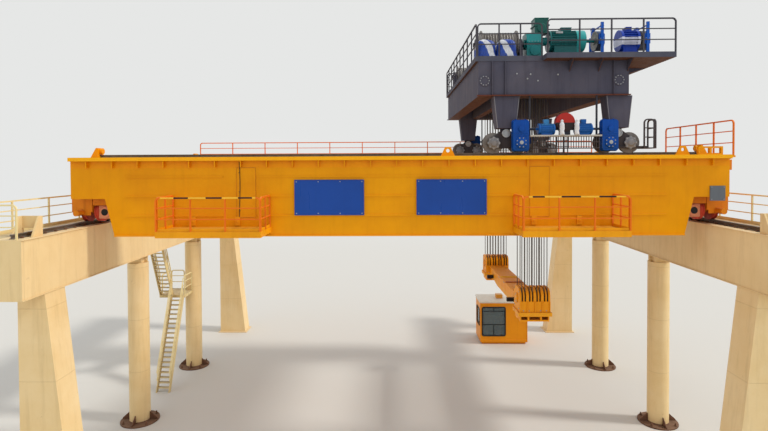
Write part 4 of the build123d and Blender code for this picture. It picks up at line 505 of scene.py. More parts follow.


# Main girders: two welded plate boxes, sprayed in yellow-orange enamel after assembly; the top flange is brighter
# from painted sunlight. The gloss has weathered unevenly with brown runs under the ledges; downward faces and a
# band under the front top flange are darker from painted shade.
painted_steel(
    "yellow_enamel_on_girder_plate", "#F4A300", "#E99600", "#B46804",
    ("main_girder_front", "main_girder_back", "end_ties", "trolley_stops", "girder_lugs"),
    soiling=0.16, rusting=0.06, dust="#F5BC4C", dusting=0.4, roughness=(0.32, 0.5),
    # Downward faces take a darker orange painted shade and bounced light.
    underside_shade="#D58A14", shine=0.14,
    areas=(
        # Painted sunlight: the top flange in a brighter yellow.
        ((-13, -9, 12.05), (13, 6, 12.19), "#FFB412"),
        # Painted shade: a darker band on the front web under the top flange.
        ((-13, -8.3, 11.78), (13, -8.1, 12.03), "#F49A04"),
    ),
)


def swept(outline, path, up):
    """An outline carried along a path: each ring is a point of the path, plus the outline's first number across
    the run and its second along up, square to the run."""
    path = np.asarray(path, dtype=float)
    outline = np.asarray(outline, dtype=float)
    run = np.gradient(path, axis=0)
    run /= np.linalg.norm(run, axis=1, keepdims=True)
    across = np.cross(run, np.asarray(up, dtype=float))
    across /= np.linalg.norm(across, axis=1, keepdims=True)
    over = np.cross(across, run)
    return loft(path[:, None] + outline[None, :, :1] * across[:, None] + outline[None, :, 1:] * over[:, None])


# Weld beads round the splice plates, ground low and painted over. Both girders mirror about bridge_y.
bridge_y = -1.8
bead = [(-0.011, -0.002), (-0.008, 0.005), (0, 0.008), (0.008, 0.005), (0.011, -0.002)]
bead_paint = painted_steel("enamel_over_weld_bead", "#DE8C04", "#D08004", "#9A5608", soiling=0.25, rusting=0.1)
splice_face = bridge_y + 6.4 + 0.015
corners = [(0, 9.96), (0.7, 9.96), (0.7, 11.78), (0, 11.78), (0, 9.96)]
around_plate = joined([
    swept(bead, [(start_x, splice_face, start_z), (end_x, splice_face, end_z)], (0, 1, 0))
    for (start_x, start_z), (end_x, end_z) in zip(corners, corners[1:])
])
beads = mirrored([repeated(around_plate, lattice((-5.88, 4.85)))], (0, bridge_y), sides=(1,))
add_piece("girder_weld_beads", [beads], bead_paint, "bridge", True)

# Rail clips along the trolley rails, like those of the runway, and a thin black supply pipe down the front web.
trolley_clip = [
    bars(((-0.04, 0.07, 0), (0.04, 0.15, 0.04), 0.006), ((-0.03, 0.048, 0.018), (0.03, 0.08, 0.038), 0.005)),
    bolts([(0, 0.112, 0.04)], (0, 0, 1), 0.018),
]
clip_places = lattice(np.arange(-11.4, 11.41, 0.6), (-6.8, 3.2), (12.18,))
add_piece("trolley_rail_clips", [repeated(mirrored(trolley_clip, sides=(1,)), clip_places)], rusty_plate, "bridge")
black_paint = painted_steel(
    "black_bitumen_paint", "#242426", "#2E2E31", "#121214", soiling=0.3, dust="#5A5652", dusting=0.4
)
pipe_outline = 0.012 * np.stack([np.cos(full_turn(8)), np.sin(full_turn(8))], axis=-1)
pipe_fall = np.linspace(11.99, 9.84, 24)
pipe_path = np.column_stack([-5.77 - 0.02 * np.sin(pipe_fall * 2.1), np.full(24, -8.232), pipe_fall])
saddle = bar((-5.795, -8.248, -0.01), (-5.745, -8.214, 0.01), 0.003)
pipe = [swept(pipe_outline, pipe_path, (0, -1, 0)), repeated(saddle, lattice(zs=(10.2, 10.9, 11.6)))]
add_piece("web_supply_pipe", pipe, black_paint, "bridge")


# Boards and the end plate: blank enamelled sheets, turned over at the edges and screwed to the front web.
# They are smooth and even, a little chalky, with a folded rim that catches the light and eight screws each.
board_enamel = painted_steel(
    "blue_enamel_on_board_sheet", "#0B469E", "#0A4092", "#08285A", ("sign_boards",),
    soiling=0.12, rusting=0, dusting=0.1, roughness=(0.25, 0.4), shine=0.3,
)
painted_steel(
    "grey_paint_on_plate", "#6E747B", "#666C73", "#484C52", ("end_plate",), soiling=0.15, rusting=0.05, dusting=0.1
)
rim_section = ((-0.03, -0.002), (-0.03, 0.006), (-0.022, 0.01), (-0.006, 0.01), (0, 0.004), (0, -0.002))
rim = upright(frame_round(2.55, 1.3, 0.012, rim_section), (0, -8.265, 10.68), (0, -1, 0))
board_middles = (-2.47, 2)
add_piece("board_rims", [repeated(rim, lattice(board_middles))], board_enamel, "bridge")
bright_screw = painted_steel(
    "zinc_plated_screws", "#B9BBBC", "#A6A8AA", "#6A6660",
    soiling=0.3, rusting=0.3, roughness=(0.3, 0.45), metallic=0.8,
)
board_screws = lattice(np.add.outer(board_middles, (-1.2, -0.4, 0.4, 1.2)).ravel(), (-8.265,), (10.1, 11.26))
plate_screws = lattice((11.39, 11.83), (-8.24,), (10.56, 11))
screws = bolts(np.concatenate([board_screws, plate_screws]), (0, -1, 0), 0.016)
add_piece("board_screws", [screws], bright_screw, "bridge")


# Travel trucks and wheels: flame-cut and bored plates under the girders' notches, cast steel wheels with flanges.
# Red-lead orange paint, thick and dull, with a black disc of painted shade in each bore, and worn bright on the
# treads.
truck_paint = painted_steel(
    "orange_paint_on_truck_plate", "#EE9016", "#E68212", "#8A4414", ("bridge_trucks",),
    # Downward faces take a darker orange painted shade.
    dust="#D8A46A", underside_shade="#B86014",
)
wheel_red = painted_steel(
    "red_lead_on_cast_wheel", "#D8523A", "#C6402A", "#4A1A12", ("bridge_wheels",),
    soiling=0.45, rusting=0.3, dust="#D99A7A", roughness=(0.3, 0.5),
)
# Pale salmon primer, never painted over, where the bearing housings were fitted last.
housing_primer = painted_steel(
    "salmon_primer_on_bearing_housing", "#E89C76", "#DC8A62", "#6A2E1E",
    soiling=0.5, rusting=0.35, dust="#E4B49A", roughness=(0.4, 0.6),
)
axle_z = 10.13
axle_ys = (bridge_y + 4.85 - 0.48, bridge_y + 4.85 + 0.48)
truck_face = bridge_y + 5.8
hub_profile = [
    (0, 0.2), (0, 0.37), (0.03, 0.4), (0.07, 0.4), (0.085, 0.375), (0.15, 0.375), (0.165, 0.4),
    (0.205, 0.4), (0.235, 0.37), (0.235, 0.12),
]
cap_profile = [(0.235, 0.12), (0.235, 0.19), (0.25, 0.2), (0.275, 0.2), (0.29, 0.17), (0.295, 0.04)]
hub = joined([turned(hub_profile, (-1, 0, 0), around=40), turned(cap_profile, (-1, 0, 0))])
hubs = repeated(hub, lattice((11.605,), axle_ys, (axle_z,)))
hub_bolts = [bolt_circle((11.33, axle_y, axle_z), (-1, 0, 0), 0.16, 8, 0.018) for axle_y in axle_ys]
housing_profile = [(-0.03, 0.13), (-0.03, 0.2), (0, 0.22), (0.35, 0.22), (0.35, 0.13)]
housing = [
    turned(housing_profile, (0, -1, 0), (11.12, truck_face, 10.11), 32),
    bar((10.88, truck_face, 9.86), (11.36, truck_face - 0.08, 10.36), 0.02),
]
tie = bar((10.8, truck_face, 10.36), (11.6, truck_face - 1.9, 10.64), 0.02)
# A black disc just inside each housing's bore: painted shade of the hole.
bore_shade = turned([(-0.004, 0.02), (-0.004, 0.128), (0, 0.128)], (0, -1, 0), (11.12, truck_face + 0.034, 10.11), 32)
for name, quarter, material, smooth in (
    ("truck_inner_housings", housing, housing_primer, True), ("truck_inner_ties", [tie], truck_paint, False),
    ("truck_wheel_hubs", [hubs], wheel_red, True), ("truck_hub_bolts", hub_bolts, rusty_plate, False),
    ("truck_bore_shade_discs", [bore_shade], black_paint, False),
):
    add_piece(name, [mirrored(quarter, (0, bridge_y))], material, "bridge", smooth)


# Platforms and railings on the bridge: folded floor plate with a deep edge, and rails of bent tube in orange.
# The platforms' top rails carry painted warning bands of yellow and black, about half a metre each.
platform_paint = painted_steel(
    "yellow_enamel_on_floor_plate", "#F7A504", "#EC9A02", "#9A5C06",
    ("platform_left", "platform_right", "end_platform_right"),
    # Downward faces take a darker orange painted shade.
    soiling=0.22, rusting=0.15, dust="#C9943A", dusting=0.6, tread=0.006, underside_shade="#C98414",
)
rail_bands = [
    ((start_x, -9.8, 10.73), (end_x, -9.6, 10.8), hue)
    for start_x, end_x, hue in (
        (-8.06, -4.8, "#FBC43A"), (4.43, 7.67, "#FBC43A"), (-7.595, -7.1, "#26221E"), (-6.496, -5.946, "#26221E"),
        (-5.398, -4.912, "#26221E"), (4.556, 4.958, "#26221E"), (5.522, 6.164, "#26221E"), (6.778, 7.349, "#26221E"),
    )
]
painted_steel(
    "orange_enamel_on_railing_tube", "#F27A12", "#EA700E", "#96480E",
    ("platform_railing_left", "platform_railing_right", "bridge_railings"),
    soiling=0.25, rusting=0.12, dust="#E8A468", areas=rail_bands,
)
post_foot = bar((-0.055, -9.69, 9.61), (0.055, -9.62, 9.624), 0.003)
hanger = bars(((-0.09, -8.26, 9.66), (0.09, -8.2, 9.98), 0.006), ((-0.03, -8.3, 9.78), (0.03, -8.2, 9.84), 0.004))
end_board = bar((-0.004, -9.62, 9.61), (0.004, -8.26, 9.71), 0.002)
platform_parts = joined([
    repeated(post_foot, lattice(np.linspace(0.05, 3.57, 4))),
    repeated(hanger, lattice((0.75, 2.4))),
    bar((0.06, -9.655, 9.61), (3.56, -9.649, 9.71), 0.002),
    repeated(end_board, lattice((0.028, 3.592))),
])
end_foot = bar((12.56, -0.05, 12.15), (12.64, 0.05, 12.164), 0.003)
platform_parts = [
    repeated(platform_parts, lattice((-8.25, 4.24))),
    repeated(end_foot, lattice(ys=np.linspace(-7.55, -2.75, 5))),
]
add_piece("platform_toe_boards_and_feet", platform_parts, platform_paint, "bridge")
square_bar = [(-0.02, -0.02), (0.02, -0.02), (0.02, 0.02), (-0.02, 0.02)]
bracket = joined([
    bar((12.04, -0.02, 11.86), (12.1, 0.02, 12.09), 0.004),
    swept(square_bar, [(12.06, 0, 11.88), (12.6, 0, 12.08)], (0, 0, 1)),
])
brackets = repeated(bracket, lattice(ys=(-7.5, -5.9, -4.3, -2.8)))
end_lug = bar((12.05, -8.12, 11.62), (12.19, -7.74, 12), 0.012)
add_piece("end_platform_brackets", [brackets, end_lug], truck_paint, "bridge")


# Trolley frame: plate boxes on tapered legs, left in grey-brown primer; the undersides and the front beam's bottom
# edge take a red-brown painted shade of light bounced from the yellow girders.
# The primer is dead matt and patchy, with chalk marks, rust streaks from the edges and dust on every ledge.
painted_steel(
    "grey_violet_primer_on_plate", "#504F5E", "#5B5863", "#2C292E",
    ("trolley_front_beam", "trolley_back_beam", "trolley_cross_beams", "trolley_legs", "drum_pedestals"),
    rust="#7A4A38", dust="#7E7A76", dusting=0.5, roughness=(0.6, 0.85), underside_shade="#5E3C2C", shine=0.12,
    # Painted bounce light: a red-brown band along the front beam's bottom edge.
    areas=(((2.9, -9, 14.47), (9.1, -7.19, 14.525), "#6A3E32"),),
)
painted_steel(
    "trodden_primer_on_floor_plate", "#4E505E", "#5A5A64", "#2C292C", ("trolley_deck",),
    rusting=0.3, dust="#7C7876", dusting=0.55, roughness=(0.6, 0.85),
    # Downward faces take the same red-brown painted shade of bounced light.
    underside_shade="#5E3C2C", tread=0.006, shine=0.12,
)
painted_steel(
    "dark_primer_on_railing_tube", "#454349", "#504E54", "#282628", ("deck_railings", "upper_blocks"),
    rusting=0.35, dust="#8E8880", roughness=(0.5, 0.7),
)
# The trolley's parts mirror about its middle, and the hoist's parts stand in two rows across it.
trolley_middle = (6.4, bridge_y)
hoist_rows = (-5.6, 2)
beam_face = bridge_y + 5.425
chalk = [(4.62, 15.32), (5.14, 15.3), (5.02, 15.13), (5.42, 15.05), (6.18, 15.28)]
cover_bolts = [bolt_circle((x, beam_face, 15.06), (0, 1, 0), 0.168, 10, 0.016) for x in (3.39, 8.5)]
cover_bolts.append(bolts([(x, bridge_y + 5.4, z) for x, z in chalk], (0, 1, 0), 0.026))
cover_bolts = mirrored(cover_bolts, trolley_middle, sides=(1,))
add_piece("frame_cover_bolts", [cover_bolts], bright_screw, "trolley")
# Pale edge strips where the legs' side plates stand proud of their faces, ground bright for the last weld.
edge_paint = painted_steel(
    "pale_primer_on_ground_edge", "#8E8C90", "#7E7C82", "#44424A", soiling=0.3, rusting=0.3, roughness=(0.5, 0.7)
)
leg_x = 6.4 + 2.15
leg_face = bridge_y + 5.312
strip = [(-0.012, -0.004), (0.012, -0.004), (0.012, 0.008), (-0.012, 0.008)]
leg_edges = [
    swept(strip, [(leg_x + hand * 0.35, leg_face, 13.26), (leg_x + hand * 0.48, leg_face, 14.47)], (0, 1, 0))
    for hand in (-1, 1)
]
add_piece("leg_edge_strips", [mirrored(leg_edges, trolley_middle)], edge_paint, "trolley")


# Bogies and wheels: two side plates with cast wheels between them, pinned to the legs so that the load is shared.
# Everything is greasy dark brown; the bearing covers are cast rosettes in dusty grey, each held by eight bolts.
bogie_primer = painted_steel(
    "greasy_primer_on_bogie_plate", "#3E3A3E", "#4A4446", "#1E1A1A", ("trolley_bogies",),
    # Downward faces take a darker red-brown painted shade.
    soiling=0.55, rusting=0.4, dust="#857C72", roughness=(0.4, 0.7), underside_shade="#4A3430",
)
machined_steel = painted_steel(
    "machined_wheel_steel", "#8B8682", "#7A7470", "#3A3532",
    ("trolley_wheels", "rope_drums", "upper_sheaves", "lower_sheaves"),
    soiling=0.5, rusting=0.3, dust="#A39A90", roughness=(0.35, 0.55), metallic=0.7,
)
cast_grey = painted_steel(
    "dusty_grey_castings", "#8F9094", "#7E7F84", "#3A3836",
    soiling=0.45, rusting=0.2, dust="#A8A49C", roughness=(0.45, 0.65), metallic=0.2,
)


def rosette(centre, axis):
    """A bearing cover: the radius of each ring swings out and in eight times round it, less towards the middle,
    and the rings climb to a domed hub."""
    axis = np.asarray(axis, dtype=float)
    side = np.cross(axis, (0, 0, 1))
    turn = full_turn(48)
    lobes = np.array([0.02, 0.022, 0.02, 0.006, 0, 0, 0])
    radii = np.array([0.235, 0.24, 0.23, 0.15, 0.12, 0.105, 0.03])
    heights = np.array([0, 0.012, 0.022, 0.026, 0.045, 0.062, 0.07])
    reach = radii[:, None] + lobes[:, None] * np.cos(8 * turn)[None]
    rings = reach[..., None] * (np.cos(turn)[:, None] * side + np.sin(turn)[:, None] * np.cross(axis, side))
    return loft(rings + heights[:, None, None] * axis + np.asarray(centre))


# Each bogie has a cover outside on both wheels, and one inside on the wheel that is nearer the trolley's end.
bogie_y = bridge_y + 5.0
rosettes = []
bogie_bolts = []
for wheel_x, out in ((leg_x - 0.475, -1), (leg_x + 0.475, -1), (leg_x + 0.475, 1)):
    rosettes.append(rosette((wheel_x, bogie_y + out * 0.222, 12.685), (0, out, 0)))
    bogie_bolts.append(bolt_circle((wheel_x, bogie_y + out * 0.244, 12.685), (0, out, 0), 0.205, 8, 0.018))
add_piece("wheel_bearing_covers", [mirrored(rosettes, trolley_middle)], cast_grey, "trolley", True)
ring_section = [(0, 0.115), (0, 0.155), (0.012, 0.165), (0.026, 0.155), (0.026, 0.12), (0.012, 0.11)]
pivot_rings = []
for out in (-1, 1):
    pivot = (leg_x, bogie_y + out * 0.217, 13.06)
    pivot_rings.append(turned(ring_section, (0, out, 0), pivot, 32))
    bogie_bolts.append(bolt_circle(pivot, (0, out, 0), 0.075, 6, 0.014, start=pi / 6))
add_piece("pivot_retaining_rings", [mirrored(pivot_rings, trolley_middle)], bright_screw, "trolley", True)
add_piece("bogie_bolts", [mirrored(bogie_bolts, trolley_middle)], bright_screw, "trolley")


# Travel gearboxes: split iron castings hung on the axles, in deep blue machine gloss that oil keeps shiny.
# The halves are bolted round the flange; a bolted hub cover and two lifting eyes finish each.
gearbox_gloss = painted_steel(
    "deep_blue_gloss_on_castings", "#004CAA", "#00449A", "#04224C", ("travel_gearboxes",),
    soiling=0.3, rusting=0.04, dust="#4468A4", roughness=(0.22, 0.4), shine=0.2,
)
box_x = 6.4 + 1.675
box_face = bridge_y + 5.655
flange_y = bridge_y + 5.515
side_bolts = lattice((box_x - 0.313, box_x + 0.313), (flange_y,), 12.95 + np.linspace(-0.47, 0.47, 8))
end_bolts = lattice(box_x + np.linspace(-0.22, 0.22, 4), (flange_y,), (12.95 - 0.588, 12.95 + 0.588))
flange_bolts = bolts(np.concatenate([side_bolts, end_bolts]), (0, 1, 0), 0.015)
hub_cover = [(0, 0.1), (0, 0.2), (0.02, 0.21), (0.045, 0.2), (0.05, 0.15), (0.062, 0.13), (0.066, 0.03)]
plug = [(0.04, 0.06), (0.05, 0.1), (0.07, 0.1), (0.076, 0.03)]
rib = bar((box_x - 0.26, box_face, 0), (box_x + 0.26, box_face + 0.012, 0.022), 0.004)
eye_turn = np.linspace(0, pi, 9)
eye_path = np.column_stack(
    [box_x + 0.04 * np.cos(eye_turn), np.full(9, box_face - 0.16), 13.52 + 0.055 * np.sin(eye_turn)]
)
gearbox_parts = [
    turned(hub_cover, (0, 1, 0), (box_x, box_face, 12.685), 32),
    turned(plug, (0, 1, 0), (box_x, box_face, 13.195), 24),
    repeated(rib, lattice(zs=(12.45, 12.94, 13.02))),
    repeated(swept(pipe_outline, eye_path, (0, 1, 0)), lattice((-0.17, 0.17))),
]
shaft_end = [(0.066, 0.05), (0.07, 0.075), (0.08, 0.07), (0.082, 0.02)]
gearbox_bright = [
    bolt_circle((box_x, box_face + 0.047, 12.685), (0, 1, 0), 0.178, 8, 0.017, start=pi / 8),
    turned(shaft_end, (0, 1, 0), (box_x, box_face, 12.685), 20),
]
add_piece("gearbox_covers", [mirrored(gearbox_parts, trolley_middle)], gearbox_gloss, "trolley", True)
add_piece("gearbox_flange_bolts", [mirrored([flange_bolts], trolley_middle)], gearbox_gloss, "trolley")
add_piece("gearbox_hub_screws", [mirrored(gearbox_bright, trolley_middle)], bright_screw, "trolley")


# Travel drives: two finned motors on a shelf with their brakes between them under one round red guard.
# Blue gloss motors, red sheet guard, pale galvanised shelf, dark hangers; the thrusters are wrapped in white film.
drive_gloss = painted_steel(
    "blue_gloss_on_motor_castings", "#1A62B0", "#16569E", "#0C2C58", ("travel_drives",),
    rusting=0.05, dust="#6C8DB4", roughness=(0.25, 0.45),
    areas=[
        ((low_x, -9, low_z), (high_x, 6, high_z), hue)
        for low_x, low_z, high_x, high_z, hue in (
            (6.03, 13.4, 6.77, 13.82, "#B8302A"), (6.03, 12.97, 6.77, 13.4, "#2C2A2C"),
            (5, 12.9, 7.8, 12.967, "#B9B6AE"), (5, 13.6, 5.3, 14.5, "#39373B"),
            (7.5, 13.6, 7.8, 14.5, "#39373B"), (5, 12.97, 5.3, 13.6, "#2F3036"),
            (7.5, 12.97, 7.8, 13.6, "#2F3036"), (5.5, 13.33, 5.95, 13.6, "#3E86BE"),
        )
    ],
)
drive_rows = (bridge_y - 5.49, bridge_y + 5.49)
cowl = [
    (0, 0.2), (0, 0.218), (0.035, 0.218), (0.05, 0.2), (0.055, 0.15), (0.05, 0.14), (0.055, 0.1), (0.05, 0.09),
    (0.056, 0.03),
]
motor_cowl = [
    turned(cowl, (1, 0, 0), (6.4 + 0.96, 0, 13.195), 28), bar((7, -0.09, 13.44), (7.2, 0.09, 13.56), 0.015)
]
cowls = repeated(mirrored(motor_cowl, (6.4, 0), ends=(1,)), lattice(ys=drive_rows))
add_piece("travel_motor_cowls", [cowls], drive_gloss, "trolley", True)
screen_bar = bar((-0.012, -0.2, 12.46), (0.012, -0.17, 12.905), 0.003)
screen = joined([
    repeated(screen_bar, lattice(np.linspace(5.16, 7.64, 27))),
    bar((5.14, -0.205, 12.44), (7.66, -0.165, 12.48), 0.004),
    bar((5.14, -0.205, 12.68), (7.66, -0.165, 12.71), 0.004),
])
add_piece("drive_screen_bars", [repeated(screen, lattice(ys=drive_rows))], bogie_primer, "trolley")
film_white = painted_steel(
    "white_packing_film", "#E4E6EA", "#D6D9DE", "#8F9094",
    soiling=0.2, rusting=0, dust="#C9C6BE", roughness=(0.2, 0.45),
)
puffs = [
    (0, 0.05), (0, 0.082), (0.05, 0.09), (0.12, 0.078), (0.2, 0.092), (0.3, 0.085), (0.36, 0.092),
    (0.42, 0.07), (0.46, 0.045), (0.5, 0.058), (0.54, 0.03),
]
thrusters = []
for (end, drive_y), x in product(zip((-1, 1), drive_rows), (6.235, 6.79)):
    # The film is a turned shape whose rings are drawn out and in by a wave of five crests that climbs round it.
    middle = np.array([x, drive_y + end * 0.23])
    points, faces = turned(puffs, (0, 0, 1), (*middle, 12.99), 20)
    crumple = 1 + 0.07 * np.sin(5 * np.arctan2(points[:, 1] - drive_y, points[:, 0] - x) + 21 * points[:, 2])
    points[:, :2] = middle + (points[:, :2] - middle) * crumple[:, None]
    foot = bar((x - 0.09, drive_y + end * 0.2, 12.965), (x + 0.09, drive_y + end * 0.3, 12.992), 0.004)
    thrusters += [(points, faces), foot]
add_piece("filmed_brake_thrusters", thrusters, film_white, "trolley", True)
rim_profile = [(0, 0.325), (0, 0.352), (0.008, 0.358), (0.014, 0.35), (0.014, 0.33)]
rims = [turned(rim_profile, (0, out, 0), (6.4, out * 0.129, 13.445), 36) for out in (-1, 1)]
guard_red = painted_steel(
    "red_enamel_on_guard_sheet", "#BC322A", "#AA2A24", "#5A1A16",
    soiling=0.3, rusting=0.1, dust="#C98A80", areas=(((6, -9, 12.9), (6.8, 6, 13.43), "#2C2A2C"),),
)
add_piece("guard_rims", [repeated(joined(rims), lattice(ys=drive_rows))], guard_red, "trolley", True)


# Rope drums: turned steel with the wire rope wound in its grooves, held by clamps at the flange.
# The rope is bright and pale where it was just reeled on, with grease between the strands.
wound_rope = painted_steel(
    "galvanised_rope_on_drum", "#C4C0BA", "#A9A49E", "#3E3A36",
    soiling=0.5, rusting=0.1, dust="#CFCBC4", roughness=(0.35, 0.55), metallic=0.5,
)
drum_z = 16.78
turn = full_turn(64)[:, None]
section_turn = full_turn(8)[None]
# A closed ring of rope: three strands swell the section as it turns with the lay, 24 times round the drum.
thick = 0.0175 + 0.0016 * np.cos(3 * (section_turn + 24 * turn))
reach = 0.476 + thick * np.cos(section_turn)
rope_turn = np.stack([thick * np.sin(section_turn), reach * np.cos(turn), reach * np.sin(turn)], axis=-1)
rope_places = lattice(3.635 + 0.11 * np.arange(11), hoist_rows, (drum_z,))
add_piece("wound_rope_turns", [repeated(closed_loft(rope_turn), rope_places)], wound_rope, "trolley", True)
clamps = [bolt_circle((x, 0, drum_z), (out, 0, 0), 0.5, 10, 0.02) for x, out in ((3.48, -1), (4.96, 1))]
clamps.append(bolts(lattice((3.3, 3.38, 5.06, 5.14), (-0.26, 0.26), (16.05,)), (0, 0, 1), 0.024))
clamps = repeated(joined(clamps), lattice(ys=hoist_rows))
add_piece("drum_and_pedestal_bolts", [clamps], bright_screw, "trolley")


# Hoist reducers and motors: iron castings in teal machine gloss, bolted down through their feet.
# Motors have cast fins, a pale rolled-steel fan cowl, a terminal box lid with four screws and a blank bright tag.
machine_teal = painted_steel(
    "teal_gloss_on_castings", "#0A8484", "#097676", "#053C40", ("hoist_reducers", "hoist_motors"),
    rusting=0.05, dust="#5FA59C", roughness=(0.22, 0.42), shine=0.35,
    areas=(((5.3, -9, 17.19), (6.3, 6, 17.84), "#08584E"), ((6.2, -9, 16), (7.34, 6, 17.6), "#0A6060")),
)
pale_teal = painted_steel(
    "pale_teal_gloss_on_cowl", "#38A9A6", "#2F9C9B", "#0E5552",
    soiling=0.3, rusting=0.02, dust="#8CC4BE", roughness=(0.25, 0.4),
)
cowl = [
    (-0.34, 0.425), (-0.34, 0.437), (0, 0.437), (0.03, 0.43), (0.045, 0.4), (0.05, 0.3), (0.042, 0.29),
    (0.05, 0.22), (0.042, 0.21), (0.05, 0.12), (0.05, 0.08),
]
bearing_cap = [(0, 0.12), (0, 0.2), (0.02, 0.21), (0.05, 0.2), (0.06, 0.1), (0.06, 0.03)]
shaft_cap = [(0, 0.1), (0, 0.18), (0.03, 0.19), (0.05, 0.17), (0.06, 0.04)]
lids = [
    turned(bearing_cap, (-1, 0, 0), (5.3, 0, drum_z), 28),
    turned(bearing_cap, (0, -1, 0), (5.62, -0.45, 16.45), 28),
    turned(shaft_cap, (0, -1, 0), (5.94, -0.26, 17.4), 28),
    bars(
        ((6.735, -0.187, 17.41), (7.185, 0.187, 17.435), 0.007),
        ((5.645, -0.275, 17.772), (6.235, 0.275, 17.812), 0.006),
        ((6.41, -0.42, 16), (6.59, 0.42, 16.04), 0.006), ((7.31, -0.42, 16), (7.49, 0.42, 16.04), 0.006),
    ),
]
foot_bolts = [
    bolts(lattice(xs, (-y, y), (z,)), (0, 0, 1), size)
    for xs, y, z, size in (
        ((6.77, 7.15), 0.15, 17.434, 0.012), (np.linspace(5.38, 5.86, 5), 0.465, 16.805, 0.02),
        (np.linspace(5.7, 6.18, 5), 0.274, 17.535, 0.015), ((5.42, 5.82), 0.42, 16.02, 0.026),
        ((6.5, 7.4), 0.37, 16.04, 0.026),
    )
]
fan_cowl = turned(cowl, (1, 0, 0), (7.665, 0, 16.9), 48)
tag = bar((6.5, -0.33, 17.16), (6.78, -0.322, 17.24), 0.002)
for name, row, material, smooth in (
    ("hoist_motor_fan_cowls", [fan_cowl], pale_teal, True), ("hoist_housing_lids", lids, machine_teal, True),
    ("hoist_foot_bolts", foot_bolts, bright_screw, False), ("blank_motor_tags", [tag], bright_screw, False),
):
    add_piece(name, [repeated(joined(row), lattice(ys=hoist_rows))], material, "trolley", smooth)


# Second motors and brakes: deep blue motors banded in white, beside drum brakes on blue arms.
# The brake drums are bare dark steel; their shoes hang on the arms with pins, and a thruster lifts them.
banded_gloss = painted_steel(
    "deep_blue_gloss_with_white_band", "#1B42AE", "#183A9E", "#0A1A50", ("second_motors",),
    soiling=0.25, rusting=0.02, dust="#7C86B8", roughness=(0.22, 0.4),
    areas=(((9, -9, 16.68), (10, 6, 16.98), "#E6E6F0"),),
)
brake_places = lattice((8.3, 10.12), hoist_rows)
brake_areas = [
    ((x - half_x, y - half_y, low_z), (x + half_x, y + half_y, high_z), hue)
    for x, y, _ in brake_places
    for half_x, half_y, low_z, high_z, hue in (
        (0.14, 0.402, 16.4, 17.31, "#46484C"), (0.3, 1.2, 15.99, 16.065, "#2E2E32"),
    )
]
painted_steel(
    "bright_blue_gloss_on_brake_arms", "#1660C8", "#1456B6", "#0C2C60", ("hoist_brakes",),
    soiling=0.3, rusting=0.05, dust="#6C92C4", roughness=(0.25, 0.45), areas=brake_areas,
)
pin = [(-0.075, 0.01), (-0.075, 0.026), (-0.07, 0.03), (0.07, 0.03), (0.075, 0.026), (0.075, 0.01)]
pins = [repeated(turned(pin, (1, 0, 0), around=14), lattice(ys=(-0.475, 0.475), zs=(16.12, 16.9, 17.44)))]
drum_face = [
    (0, 0.3), (0, 0.398), (0.014, 0.398), (0.016, 0.34), (0.003, 0.32), (0.003, 0.17), (0.02, 0.15),
    (0.03, 0.13), (0.034, 0.07), (0.028, 0.06), (0.028, 0.02),
]
faces_out = [turned(drum_face, (out, 0, 0), (out * 0.129, 0, 16.9), 40) for out in (-1, 1)]
drum_bolts = [bolt_circle((out * 0.13, 0, 16.9), (out, 0, 0), 0.24, 8, 0.016) for out in (-1, 1)]
for name, brake, material, smooth in (
    ("brake_pins", pins, bright_screw, True), ("brake_drum_faces", faces_out, machined_steel, True),
    ("brake_drum_bolts", drum_bolts, bright_screw, False),
):
    add_piece(name, [repeated(joined(brake), brake_places)], material, "trolley", smooth)
rolled = turned([(0, 0.42), (0, 0.434), (0.1, 0.434), (0.102, 0.42)], (1, 0, 0), around=48)
second_cowl = joined([
    repeated(rolled, lattice((9.125, 9.773), zs=(16.9,))),
    bar((9.374, -0.187, 17.41), (9.626, 0.187, 17.435), 0.007),
])
add_piece("second_motor_cowls", [repeated(second_cowl, lattice(ys=hoist_rows))], banded_gloss, "trolley", True)


# Wrapped reducers: two tall housings under blue and white striped tarpaulin, tied down over their tops.
# Woven plastic sheet with a soft sheen: rounded crown, creases falling from the corners, a hem on the deck.
tarpaulin, tree, place = blank_finish("striped_woven_tarpaulin")
axes = add_node(tree, "SeparateXYZ", {}, {0: place}).outputs
wander = add_node(tree, "TexNoise", {"Scale": 1.6, "Detail": 2}, {"Vector": place})
lean = axes["X"]
for source, share in ((axes["Z"], 0.45), (axes["Y"], 0.7), (wander, 0.16)):
    lean = add_node(tree, "Math", {"operation": "MULTIPLY_ADD", 1: share}, {0: source, 2: lean})
phase = add_node(tree, "Math", {"operation": "MULTIPLY", 1: 1.45}, {0: lean})
phase = add_node(tree, "Math", {"operation": "FRACT"}, {0: phase})
stripes = add_node(tree, "ValToRGB", {}, {0: phase})
stops = stripes.color_ramp.elements
for position, shade in (
    (0, "#17409C"), (0.58, "#1E4CAC"), (0.61, "#E6E8EE"), (0.96, "#DADDE4"), (0.99, "#17409C"),
):
    stops.new(position).color = linear(shade)
stops.remove(stops[0])
stops.remove(stops[-1])
soil = add_node(tree, "TexNoise", {"Scale": 4, "Detail": 6}, {"Vector": place})
limits = {"From Min": 0.45, "From Max": 0.75, "To Min": 0, "To Max": 0.35}
soiled = add_node(tree, "MapRange", limits, {"Value": soil})
dirtied = add_node(tree, "Mix", {"data_type": "RGBA", 7: linear("#6C6A64")}, {0: soiled, 6: stripes}).outputs[2]
weave = add_node(tree, "TexWave", {"Scale": 90, "Distortion": 0.5}, {"Vector": place}).outputs["Fac"]
crease = add_node(tree, "TexNoise", {"Scale": 9, "Detail": 5}, {"Vector": place})
woven = add_node(tree, "Bump", {"Strength": 0.08, "Distance": 0.002}, {"Height": weave})
creased = add_node(tree, "Bump", {"Strength": 0.5, "Distance": 0.03}, {"Height": crease, "Normal": woven})
